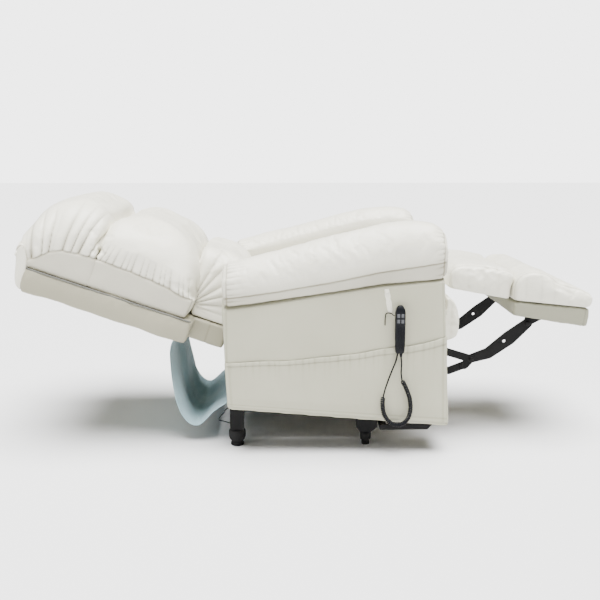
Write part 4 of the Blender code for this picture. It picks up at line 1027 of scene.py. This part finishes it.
# %% [markdown]
# ## Side pocket
# The pocket is a sheet of the same leather sewn to the panel along its foot and both ends. Elastic in the
# top hem draws it in, so the hem ripples and sags open a little, and the pouch falls in long shallow folds.

# %% Side pocket
POCKET_HEM_X = [-0.254, -0.088, 0.062, 0.150, 0.205, 0.301, 0.360, 0.412]
POCKET_HEM_Z = [0.291, 0.297, 0.309, 0.321, 0.331, 0.341, 0.355, 0.369]
POCKET_FOOT_X = np.array([-0.246, 0.419])
POCKET_WIDTH = 0.666


def pocket_sheet():
    """Grid over the pocket, then folded, with a thicker hem."""
    piece = unit_grid("pocket_sheet", 190, 90)
    co = read_points(piece)
    u, v = co[:, 0] + 0.5, co[:, 1] + 0.5
    x_top = POCKET_HEM_X[0] + u * POCKET_WIDTH
    hem_z = np.interp(x_top, POCKET_HEM_X, POCKET_HEM_Z)
    x_low = POCKET_FOOT_X[0] + u * (POCKET_FOOT_X[1] - POCKET_FOOT_X[0])
    foot_z = np.interp(x_low, [-0.248, 0.427], [0.156, 0.1005])
    x = x_low + (x_top - x_low) * v
    z = foot_z + (hem_z - foot_z) * v
    edge = np.minimum(u, 1 - u)
    sewn = step(edge, 0.0, 0.07) * step(v, 0.0, 0.22)
    depth = 0.0016 + 0.0056 * sewn
    folds = gathers(x + 0.05 * v, 0.085, 91)
    small = gathers(x, 0.021, 92)
    near_hem = np.exp(-((1 - v) / 0.20) ** 1.5)
    depth -= (1 - folds) * 0.0014 * sewn + (1 - small) * 0.0016 * near_hem * step(edge, 0.01, 0.05)
    crease = np.exp(-((x - (0.176 + 0.040 * (1 - v))) / 0.006) ** 2) * step(v, 0.25, 0.8)
    hem_roll = np.exp(-((v - 0.955) / 0.035) ** 4) * step(edge, 0.0, 0.02)
    depth += 0.0014 * crease + 0.0022 * hem_roll
    z += (np.sin(x * 31) * 0.0012 - (1 - small) * 0.0009) * near_hem
    y = -(PANEL_Y + depth)
    write_points(piece, np.stack([x, y, z], axis=1))
    return piece, u, v, folds, small, near_hem, edge


pocket, u, v, folds, small, near_hem, edge = pocket_sheet()
# Painted shade in the small creases under the hem and along the hem, foot and end seams. The pocket takes the
# leather copy with painted side shade.
hem_line = np.exp(-((v - 0.915) / 0.010) ** 2)
foot_line = np.exp(-((v - 0.045) / 0.010) ** 2)
side_line = np.exp(-((edge - 0.018) / 0.004) ** 2)
paint_fold_shade(pocket, 0.45 * (1 - small) ** 2 * near_hem + 0.55 * hem_line + 0.35 * (foot_line + side_line))
activate(pocket)
bpy.ops.object.mode_set(mode="EDIT")
bpy.ops.mesh.select_all(action="SELECT")
bpy.ops.mesh.normals_make_consistent(inside=False)
bpy.ops.object.mode_set(mode="OBJECT")
if read_normals(pocket)[:, 1].mean() > 0:
    activate(pocket)
    bpy.ops.object.mode_set(mode="EDIT")
    bpy.ops.mesh.flip_normals()
    bpy.ops.object.mode_set(mode="OBJECT")
push(pocket, -hem_line * 0.0006 - (foot_line + side_line) * 0.0005)
thicken(pocket, 0.0014, -1.0)
dress(pocket, "chair_body", ivory_side_shade, "panel_leather", "side_pocket")

# %% [markdown]
# ## Seat and legrest cushions
# The seat cushion disappears between the arms; its front roll turns down over the edge. The legrest has two
# pads: a middle one that bridges the gap, and the foot pad on its board. Both are box pads with a rounded
# top whose cover is tucked under, so their sides curve in towards the board.


# %% Box pads
def box_pad_rings(outline, half, rounding, stations=12, tuck=0.10):
    """Rings of a pad across the chair whose outline shrinks a little at both sides."""
    outline = np.array(outline)
    centre = (outline.min(axis=0) + outline.max(axis=0)) / 2
    turns = np.linspace(0, math.pi / 2, stations)
    sides = np.concatenate([-half + rounding * (1 - np.cos(turns)),
                            half - rounding * (1 - np.cos(turns[::-1]))])
    rings = []
    for y in sides:
        t = max(0.0, (abs(y) - (half - rounding)) / rounding)
        shrink = 1 - tuck * (1 - math.sqrt(max(0.0, 1 - t * t)))
        rings.append([(x, y, z) for x, z in centre + (outline - centre) * shrink])
    return rings


def make_pad(name, body, node, points, half, held_below, seed, **ways):
    """Stuffed pad from an (x, z) outline; held_below says which points rest on something."""
    tuck, rounding = ways.get("tuck", 0.12), ways.get("rounding", 0.035)
    voxel, cap = ways.get("voxel", 0.006), ways.get("cap", 0.008)
    outline = smooth_line(points, 110, closed=True)
    piece = remesh(loft(name, box_pad_rings(outline, half, rounding, tuck=tuck)), voxel)
    relax(piece, 3)
    co = read_points(piece)
    inflate(piece, np.clip(held_below(co), 0, 1), cap, slack=0.015)
    halve_mesh(piece)
    co = read_points(piece)
    free = 1 - np.clip(held_below(co), 0, 1)
    near_side = step(np.abs(co[:, 1]), half - 0.07, half - 0.005) * free
    folds = gathers(co[:, 0] + np.sign(co[:, 1]) * 0.01, 0.045, seed)
    seam = np.exp(-((np.abs(co[:, 1]) - (half - rounding * 0.55)) / 0.0024) ** 2) * free
    seam = seam * ways.get("seam", 1.0)
    loose = waves(co, 0.10, seed + 1) * 0.0020 + waves(co, 0.04, seed + 2) * 0.0005
    push(piece, loose * free * 0.5 - (1 - folds) * 0.0009 * near_side - seam * 0.0018)
    # Painted shade along the side seams and in the folds near the sides.
    paint_fold_shade(piece, 0.40 * seam + 0.15 * (1 - folds) ** 2 * near_side)
    dress(piece, body, ivory, "cushion_leather", node, fill=0.7)


def over_line(points):
    """1 below a line given by (x, z) points, falling to 0 within 12 mm above it."""
    xs, zs = np.array(points).T
    return lambda co: 1 - step(co[:, 2] - np.interp(co[:, 0], xs, zs), 0.002, 0.014)


SEAT_HALF = 0.2300
make_pad("seat_pad", "chair_body", "seat_cushion", [
    (-0.180, 0.379), (-0.180, 0.379), (0.424, 0.379), (0.424, 0.379), (0.4345, 0.430), (0.434, 0.488),
    (0.418, 0.514), (0.370, 0.520), (0.260, 0.507), (0.100, 0.484), (-0.060, 0.456), (-0.150, 0.438),
    (-0.176, 0.424)], SEAT_HALF, over_line([(-0.2, 0.381), (0.5, 0.381)]), 101, voxel=0.0075, tuck=0.06)
make_pad("seat_front_roll", "chair_body", "seat_front", [
    (0.4195, 0.319), (0.438, 0.319), (0.456, 0.322), (0.474, 0.336), (0.4785, 0.365), (0.477, 0.400),
    (0.468, 0.437), (0.452, 0.457), (0.438, 0.460), (0.438, 0.460), (0.4375, 0.430), (0.4285, 0.380),
    (0.4245, 0.345)], SEAT_HALF, lambda co: 1 - step(co[:, 0], 0.437, 0.452), 105, voxel=0.0045, tuck=0.05,
    rounding=0.020, cap=0.004, seam=0.0)
make_pad("foot_pad_cover", "legrest_foot", "foot_pad", [
    (0.6445, 0.4520), (0.6445, 0.4520), (0.760, 0.4400), (0.886, 0.4265), (0.886, 0.4265), (0.8960, 0.4400),
    (0.8970, 0.4620), (0.880, 0.4700), (0.860, 0.4800), (0.830, 0.4900), (0.790, 0.5060), (0.755, 0.5250),
    (0.725, 0.5370), (0.693, 0.5400), (0.664, 0.5280), (0.6470, 0.5010)], 0.2535,
    over_line([(0.64, 0.454), (0.89, 0.4275)]), 111, tuck=0.10, rounding=0.028, cap=0.006)
make_pad("mid_pad_cover", "legrest_mid", "mid_pad", [
    (0.4440, 0.4880), (0.4440, 0.4880), (0.540, 0.4700), (0.6400, 0.4510), (0.6400, 0.4510), (0.6450, 0.4900),
    (0.6550, 0.5180), (0.648, 0.5330), (0.615, 0.5440), (0.560, 0.5540), (0.500, 0.5570), (0.460, 0.5520),
    (0.4440, 0.5300)], 0.2290, over_line([(0.44, 0.490), (0.63, 0.455)]), 121, tuck=0.10, rounding=0.028,
    cap=0.005)

# %% Foot board
board = soft_copy("footboard_cover", "footboard", 0.005, 4)
co = read_points(board)
board_top = step(co[:, 2] + (co[:, 0] - 0.646) * 0.159, 0.428, 0.446)
co[:, 2] += 0.0145 * board_top * np.clip((co[:, 0] - 0.646) / 0.24, 0, 1)
write_points(board, co)
push(board, waves(co, 0.09, 131) * 0.0010)
halve_mesh(board)
co = read_points(board)
lengthwise = co[:, 0] * math.cos(0.158) - co[:, 2] * math.sin(0.158)
end_seam = np.exp(-((lengthwise - (lengthwise.max() - 0.016)) / 0.002) ** 2)
push(board, -end_seam * 0.0012)
# Painted shade along the end seam. The board's darker leather copy paints in the shadow of the pads above it.
paint_fold_shade(board, 0.4 * end_seam)
dress(board, "legrest_foot", board_leather_shaded, "panel_leather", "footboard", fill=0.9)

# %% [markdown]
# ## Cloth behind the chair
# A light blue-grey liner hangs from the back of the chair down to the base, so that nobody sees or touches
# the mechanism. It is loose: it drops in a deep fold and comes up again to the rear cross tube. A sheet
# that only sags under its own weight is quickest as a curved grid with its folds added.

# %% Rear cover
COVER_PLACES = 120                  # points along the fold
COVER_COLUMNS, COVER_ROWS = 118, 110
COVER_PATH = smooth_line([
    (-0.420, 0.3375), (-0.4315, 0.300), (-0.4265, 0.240), (-0.4165, 0.180), (-0.4055, 0.125),
    (-0.390, 0.084), (-0.368, 0.0605), (-0.345, 0.0585), (-0.322, 0.076), (-0.300, 0.098), (-0.278, 0.114),
    (-0.2575, 0.1275)], COVER_PLACES)
COVER_HALF = 0.2585
cover = unit_grid("rear_cover_cloth", COVER_COLUMNS, COVER_ROWS)
co = read_points(cover)
along, across = co[:, 0] + 0.5, co[:, 1] * 2
station, stations = along * (COVER_PLACES - 1), np.arange(COVER_PLACES)
places = np.stack([np.interp(station, stations, COVER_PATH[:, k]) for k in range(2)], axis=1)
slope = np.gradient(COVER_PATH, axis=0)
slope /= np.linalg.norm(slope, axis=1)[:, None]
square = np.stack([np.interp(station, stations, v) for v in (-slope[:, 1], slope[:, 0])], axis=1)
loose = np.sin(along * math.pi) ** 0.7
ripple = (np.sin(across * 9.0 + 3.0 * along) * 0.0042 + np.sin(across * 4.1 - 5 * along + 1) * 0.0052
          + np.sin(across * 17.0 + 6 * along) * 0.0018) * loose
slant = 0.010 * np.cos(across * 2.6) * np.sin(along * math.pi * 1.5)
offset = ripple + slant * loose
write_points(cover, np.stack([places[:, 0] + square[:, 0] * offset, across * COVER_HALF,
                              places[:, 1] + square[:, 1] * offset], axis=1))
thicken(cover, 0.0012, 0.0)
dress(cover, None, liner_cloth, "liner_cloth", "rear_cover")
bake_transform(cover)

# %% [markdown]
# ## Hand control, keys, hook and strap
# The hand control is a slim dark moulding with lengthwise grip ribs and a rounded top. It starts as a cube,
# is cut into bands that are scaled one by one in edit mode, and is bevelled all over. It hangs by a small
# wire hook from a leather strap that is buttoned to the arm.


# %% Modelling helpers
def start_box(name, centre, size):
    bpy.ops.object.select_all(action="DESELECT")
    bpy.ops.mesh.primitive_cube_add(size=1.0, location=centre)
    piece = bpy.context.object
    piece.name = name
    piece.scale = size
    settle(piece)
    return piece


def settle(piece):
    """Puts the piece's place, turn and size into its mesh."""
    activate(piece)
    bpy.ops.object.transform_apply(location=True, rotation=True, scale=True)


def pick(piece, wanted):
    """Enters edit mode with the faces selected for which wanted(centre, normal) is true."""
    activate(piece)
    bpy.ops.object.mode_set(mode="EDIT")
    bpy.ops.mesh.select_mode(type="FACE")
    bpy.ops.mesh.select_all(action="DESELECT")
    bpy.ops.object.mode_set(mode="OBJECT")
    for face in piece.data.polygons:
        face.select = bool(wanted(face.center, face.normal))
    bpy.ops.object.mode_set(mode="EDIT")


def leave():
    bpy.ops.object.mode_set(mode="OBJECT")


def soften(piece, width, segments=3, angle=35.0):
    """Bevels the sharp edges and shades the piece smooth."""
    edge = piece.modifiers.new("edges", "BEVEL")
    edge.width = width
    edge.segments = segments
    edge.limit_method = "ANGLE"
    edge.angle_limit = math.radians(angle)
    edge.harden_normals = False
    apply_all(piece)
    activate(piece)
    bpy.ops.object.shade_smooth_by_angle(angle=math.radians(40))


def join_all(pieces, name):
    bpy.ops.object.select_all(action="DESELECT")
    for piece in pieces:
        piece.select_set(True)
    bpy.context.view_layer.objects.active = pieces[0]
    bpy.ops.object.join()
    pieces[0].name = name
    return pieces[0]


def finish_hard(piece, body, material, slot, *nodes):
    """Material and body of a hard piece whose shading is already right. The slot is not used."""
    piece.data.materials.clear()
    piece.data.materials.append(material)
    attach(piece, body)
    if nodes:
        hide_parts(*nodes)
    print(piece.name, len(piece.data.polygons), "faces")
    return piece


# %% Hand control shell
HANDSET_X = 0.268
HANDSET_FACE = -0.4170
HANDSET_BACK = -0.3965
bpy.ops.object.select_all(action="DESELECT")
middle_y = (HANDSET_FACE + HANDSET_BACK) / 2
handset = start_box("hand_control", (HANDSET_X, middle_y, 0.3955), (0.0300, 0.0205, 0.145))
activate(handset)
bpy.ops.object.mode_set(mode="EDIT")
CUTS = [0.329, 0.336, 0.350, 0.362, 0.368, 0.400, 0.412, 0.4305, 0.448, 0.458, 0.464]
for height in CUTS:
    bpy.ops.mesh.select_all(action="SELECT")
    bpy.ops.mesh.bisect(plane_co=(0.0, 0.0, height), plane_no=(0.0, 0.0, 1.0))
bpy.ops.object.mode_set(mode="OBJECT")
co = read_points(handset)
z = co[:, 2]
width = np.interp(z, [0.323, 0.329, 0.350, 0.40, 0.448, 0.458, 0.464, 0.468],
                  [0.74, 0.92, 0.98, 1.0, 0.98, 0.84, 0.62, 0.36])
depth = np.interp(z, [0.323, 0.329, 0.448, 0.458, 0.464, 0.468],
                  [0.62, 0.90, 1.0, 0.84, 0.62, 0.36])
co[:, 0] = HANDSET_X + (co[:, 0] - HANDSET_X) * width
co[:, 1] = middle_y + (co[:, 1] - middle_y) * depth
low_part = (1 - step(z, 0.358, 0.368)) * (co[:, 1] > middle_y)
co[:, 1] -= 0.0062 * low_part
write_points(handset, co)
soften(handset, 0.0042, segments=4, angle=60)
rib_parts = [handset]
RIBS, RIB_STEP = 5, 0.0048
for number in range(RIBS):
    rib_x = HANDSET_X - 0.0096 + number * RIB_STEP
    rib = start_box(f"rib_{number}", (rib_x, HANDSET_FACE - 0.0001, 0.3700), (0.0020, 0.0016, 0.066))
    soften(rib, 0.0006, segments=2)
    rib_parts.append(rib)
frame_rim = start_box("key_frame", (HANDSET_X, HANDSET_FACE + 0.0004, 0.4298), (0.0262, 0.0016, 0.0355))
soften(frame_rim, 0.0007, segments=2)
rib_parts.append(frame_rim)
handset = join_all(rib_parts, "hand_control")
finish_hard(handset, "chair_body", black_plastic, "black_plastic", "handset")

# %% Keys
for number in range(1, 5):
    low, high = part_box(f"button_{number}")
    centre = (low + high) / 2
    size = high - low
    key = start_box(f"key_{number}", centre, (size.x, size.y, size.z))
    pick(key, lambda centre, normal: normal.y < -0.9)
    bpy.ops.mesh.inset(thickness=0.0014)
    bpy.ops.transform.translate(value=(0.0, 0.0004, 0.0))
    leave()
    soften(key, 0.0007, segments=3)
    finish_hard(key, f"button_{number}", grey_key, "button_plastic", f"button_{number}")


# %% Wires and cords
def wire(name, places, radius):
    """Round wire, with capped ends, straight from one of the given places to the next."""
    data = bpy.data.curves.new(name, "CURVE")
    data.dimensions = "3D"
    data.bevel_depth = radius
    data.bevel_resolution = 2
    data.use_fill_caps = True
    spline = data.splines.new("POLY")
    spline.points.add(len(places) - 1)
    spline.points.foreach_set("co", np.c_[places, np.ones(len(places))].ravel())
    piece = bpy.data.objects.new(name, data)
    bpy.context.scene.collection.objects.link(piece)
    return piece


def as_mesh(piece):
    activate(piece)
    bpy.ops.object.convert(target="MESH")
    piece = bpy.context.object
    shade_round(piece)
    return piece


HOOK_Y = -0.3915
hook = as_mesh(wire("hook_wire", smooth_line([
    (0.2522, -0.3990, 0.4350), (0.2480, -0.3955, 0.4370), (0.2420, HOOK_Y, 0.4410), (0.2340, HOOK_Y, 0.4420),
    (0.2275, HOOK_Y, 0.4395), (0.2255, HOOK_Y, 0.4290), (0.2250, HOOK_Y, 0.4050)], 60), 0.0015))
finish_hard(hook, "chair_body", black_steel, "black_steel", "handset_hook")

# %% Leather strap
STRAP_TOP, STRAP_LOW = (0.2285, 0.5125), (0.2410, 0.4415)
strap = unit_grid("strap_leather", 14, 44)
co = read_points(strap)
across, along = co[:, 0], co[:, 1] + 0.5
run = np.array([STRAP_TOP[0] - STRAP_LOW[0], STRAP_TOP[1] - STRAP_LOW[1]])
run /= np.linalg.norm(run)
half_width = 0.0078 * (0.72 + 0.28 * np.sin(np.clip(along, 0, 1) * math.pi) ** 0.5)
half_width *= 1 - 0.25 * np.exp(-((along - 0.04) / 0.05) ** 2)
length = np.interp(along, [0, 1], [0.0, 0.0735])
x = STRAP_LOW[0] + run[0] * length + run[1] * across * 2 * half_width
z = STRAP_LOW[1] + run[1] * length - run[0] * across * 2 * half_width
bow = 0.0012 * np.cos(across * math.pi) + 0.0009 * np.sin(along * 7)
write_points(strap, np.stack([x, -0.3862 - bow, z], axis=1))
thicken(strap, 0.0016, 1.0)
bm = bmesh.new()
bm.from_mesh(strap.data)
bmesh.ops.recalc_face_normals(bm, faces=bm.faces)
bm.to_mesh(strap.data)
bm.free()
paint_fold_shade(strap, np.zeros(len(strap.data.vertices)))
dress(strap, "chair_body", ivory, "cushion_leather", "handset_strap")
bpy.ops.object.select_all(action="DESELECT")
bpy.ops.mesh.primitive_uv_sphere_add(segments=24, ring_count=12, radius=0.0055,
                                     location=(0.2300, -0.3887, 0.5040))
stud = bpy.context.object
stud.name = "strap_stud"
stud.scale = (1.0, 0.42, 1.0)
settle(stud)
shade_round(stud)
finish_hard(stud, "chair_body", ivory, "cushion_leather")

# %% [markdown]
# ## Curly cord
# A retractile cord is a jacketed lead wound into a tight helix, with straight ends. It leaves the bottom of
# the hand control, hangs in one loop and comes up again behind it, into a grommet in the pocket. The loop's
# shape is what gravity gives a soft spring: steep sides and a round bottom. One spline follows the whole
# cord, with the helix turned round the loop's line by a frame that is carried along it without twisting.

# %% Cord route
CORD_Y = -0.4065
LEAD_ROUTE = [(0.2715, CORD_Y - 0.001, 0.3225), (0.2745, CORD_Y, 0.2900), (0.2740, CORD_Y, 0.2620),
              (0.2765, CORD_Y, 0.2420)]
COIL_ROUTE = [(0.2768, CORD_Y, 0.2405), (0.2900, CORD_Y, 0.2140), (0.3010, CORD_Y, 0.1830),
              (0.3040, CORD_Y, 0.1500), (0.2960, CORD_Y, 0.1200), (0.2730, CORD_Y, 0.1010),
              (0.2440, CORD_Y, 0.1080), (0.2250, CORD_Y, 0.1350), (0.2195, CORD_Y, 0.1680),
              (0.2215, CORD_Y, 0.1900)]
TAIL_ROUTE = [(0.2217, CORD_Y, 0.1915), (0.2290, CORD_Y, 0.2200), (0.2430, -0.4045, 0.2600),
              (0.2570, -0.4015, 0.2950), (0.2630, -0.3995, 0.3200), (0.2655, -0.3990, 0.3380),
              (0.2660, -0.3957, 0.3520), (0.2660, -0.3918, 0.3670), (0.2660, -0.3908, 0.3846)]
CORD_DIAMETER = 0.0048
COIL_PITCH = 0.0056
COIL_REACH = 0.0049
POINTS_PER_TURN = 14


def coiled_line(route):
    """Helix round the route, which starts and ends on the route itself."""
    length = float(np.linalg.norm(np.diff(smooth_line(route, 400), axis=0), axis=1).sum())
    turns = round(length / COIL_PITCH)
    count = turns * POINTS_PER_TURN + 1
    middle = smooth_line(route, count)
    ahead = np.gradient(middle, axis=0)
    ahead /= np.linalg.norm(ahead, axis=1)[:, None]
    side = np.array([0.0, 1.0, 0.0])
    places = []
    for number in range(count):
        side = side - ahead[number] * (side @ ahead[number])
        side /= np.linalg.norm(side)
        other = np.cross(ahead[number], side)
        ease = min(1.0, number / POINTS_PER_TURN, (count - 1 - number) / POINTS_PER_TURN)
        turn = 2 * math.pi * number / POINTS_PER_TURN
        reach = COIL_REACH * ease * ease * (3 - 2 * ease)
        places.append(middle[number] + (side * math.cos(turn) + other * math.sin(turn)) * reach)
    print("coil:", turns, "turns over", round(length, 3), "m")
    return np.array(places)


lead_points, coil_points = smooth_line(LEAD_ROUTE, 24), coiled_line(COIL_ROUTE)
tail_points = smooth_line(TAIL_ROUTE, 50)
cord_points = np.vstack([lead_points, coil_points, tail_points])
curly_cord = wire("curly_cord", cord_points, CORD_DIAMETER / 2)
curly_cord.data.materials.append(cord_jacket)
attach(curly_cord, "chair_body")
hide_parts("handset_cord_lead", "handset_cord_curly", "handset_cord_tail")

# %% Strain relief
bpy.ops.object.select_all(action="DESELECT")
bpy.ops.mesh.primitive_cone_add(vertices=24, radius1=0.0036, radius2=0.0048, depth=0.012,
                                location=(0.2722, CORD_Y - 0.0007, 0.3180), end_fill_type="NGON")
relief = bpy.context.object
relief.name = "cord_strain_relief"
settle(relief)
soften(relief, 0.0006, segments=2)
finish_hard(relief, "chair_body", black_plastic, "black_plastic")

# %% [markdown]
# ## Glides and bolts
# The feet are turned rubber glides under the legs. A glide is a lathe shape: its outline is drawn as a
# chain of edges and spun round its own axis. The link pins end in domed bolt heads over washers.


# %% Turned shapes
def turned(name, centre, outline, sides=40, axis="Z"):
    """Solid of revolution from (radius, height) points, about a line through centre."""
    mesh = bpy.data.meshes.new(name)
    points = [(r, 0.0, h) for r, h in outline]
    mesh.from_pydata(points, [(i, i + 1) for i in range(len(points) - 1)], [])
    piece = bpy.data.objects.new(name, mesh)
    bpy.context.scene.collection.objects.link(piece)
    activate(piece)
    bpy.ops.object.mode_set(mode="EDIT")
    bpy.ops.mesh.select_all(action="SELECT")
    bpy.ops.mesh.spin(steps=sides, angle=2 * math.pi, center=(0.0, 0.0, 0.0), axis=(0.0, 0.0, 1.0))
    bpy.ops.mesh.select_all(action="SELECT")
    bpy.ops.mesh.remove_doubles(threshold=1e-5)
    bpy.ops.mesh.normals_make_consistent(inside=False)
    bpy.ops.object.mode_set(mode="OBJECT")
    if axis != "Z":
        turn = Matrix.Rotation(math.pi / 2 if axis == "-Y" else -math.pi / 2, 4, "X")
        piece.data.transform(turn)
    piece.data.transform(Matrix.Translation(centre))
    activate(piece)
    bpy.ops.object.shade_smooth_by_angle(angle=math.radians(35))
    return piece


GLIDE_Y = 0.284
for side, s in (("right", -1), ("left", 1)):
    for end, x, wide, tall in (("rear", -0.224, 0.0265, 0.050), ("front", 0.181, 0.0175, 0.040)):
        foot = wide - (0.006 if end == "rear" else 0.005)
        outline = [(0.0, 0.0), (foot * 0.86, 0.0), (foot * 0.97, 0.0012), (foot, 0.0035), (foot, 0.009),
                   (foot * 0.90, 0.0115), (foot * 0.90, 0.014), (wide * 0.90, tall * 0.42),
                   (wide * 0.985, tall * 0.55), (wide, tall * 0.66), (wide, tall - 0.003),
                   (wide - 0.0015, tall - 0.0006), (wide * 0.7, tall), (0.0, tall)]
        glide = turned(f"{end}_glide_turned_{side}", (x, s * GLIDE_Y, 0.0), outline)
        finish_hard(glide, "base", glide_rubber, "glide_rubber", f"{end}_glide_{side}")


def bolt_head(name, body, place, y_face, s, r=0.0095):
    """Washer and domed head standing on a plate's face at y_face, facing the side s."""
    outline = [(0.0, 0.0), (r * 1.25, 0.0), (r * 1.25, 0.0012), (r * 0.98, 0.0014), (r * 0.96, 0.0024),
               (r * 0.80, 0.0040), (r * 0.45, 0.0049), (0.0, 0.0051)]
    head = turned(name, (place[0], y_face, place[1]), outline, sides=24, axis="-Y" if s < 0 else "Y")
    return finish_hard(head, body, black_steel, "black_steel")


PLATE_HALF = 0.0025
FOOT_PIVOT, FOOT_PLATE_Y = (0.697, 0.377), 0.228
DRIVE_PIVOT, DRIVE_PLATE_Y = (0.520, 0.262), 0.234
for side, s in (("right", -1), ("left", 1)):
    bolt_head(f"foot_bolt_{side}", "legrest_main", FOOT_PIVOT, s * (FOOT_PLATE_Y + PLATE_HALF), s)
    bolt_head(f"drive_bolt_{side}", "legrest_drive", DRIVE_PIVOT, s * (DRIVE_PLATE_Y + PLATE_HALF), s,
              r=0.0085)

# %% [markdown]
# ## Steel, plastic and board of the frame
# The solids of the mechanism have the right shape already. They only get their finishes.

# %% Finish the frame's own solids
# The panel slot takes the leather copy with painted side shade.
FRAME_FINISHES = {
    "black_steel": black_steel, "rod_steel": rod_steel, "black_plastic": black_plastic,
    "cord_jacket": cord_jacket, "glide_rubber": glide_rubber, "deck_board": deck_board,
    "button_plastic": grey_key, "cushion_leather": ivory, "panel_leather": ivory_side_shade,
    "liner_cloth": liner_cloth}
for entry in frame["record"]["subparts"]:
    solid = frame["nodes"][entry["node"]]
    solid.data.materials.clear()
    solid.data.materials.append(FRAME_FINISHES[entry["material_slot"]])
print("finishes set on", len(frame["nodes"]), "solids")

# %% Print sizes and finish
low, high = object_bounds()
print("visual box", [round(v, 3) for v in low], [round(v, 3) for v in high])
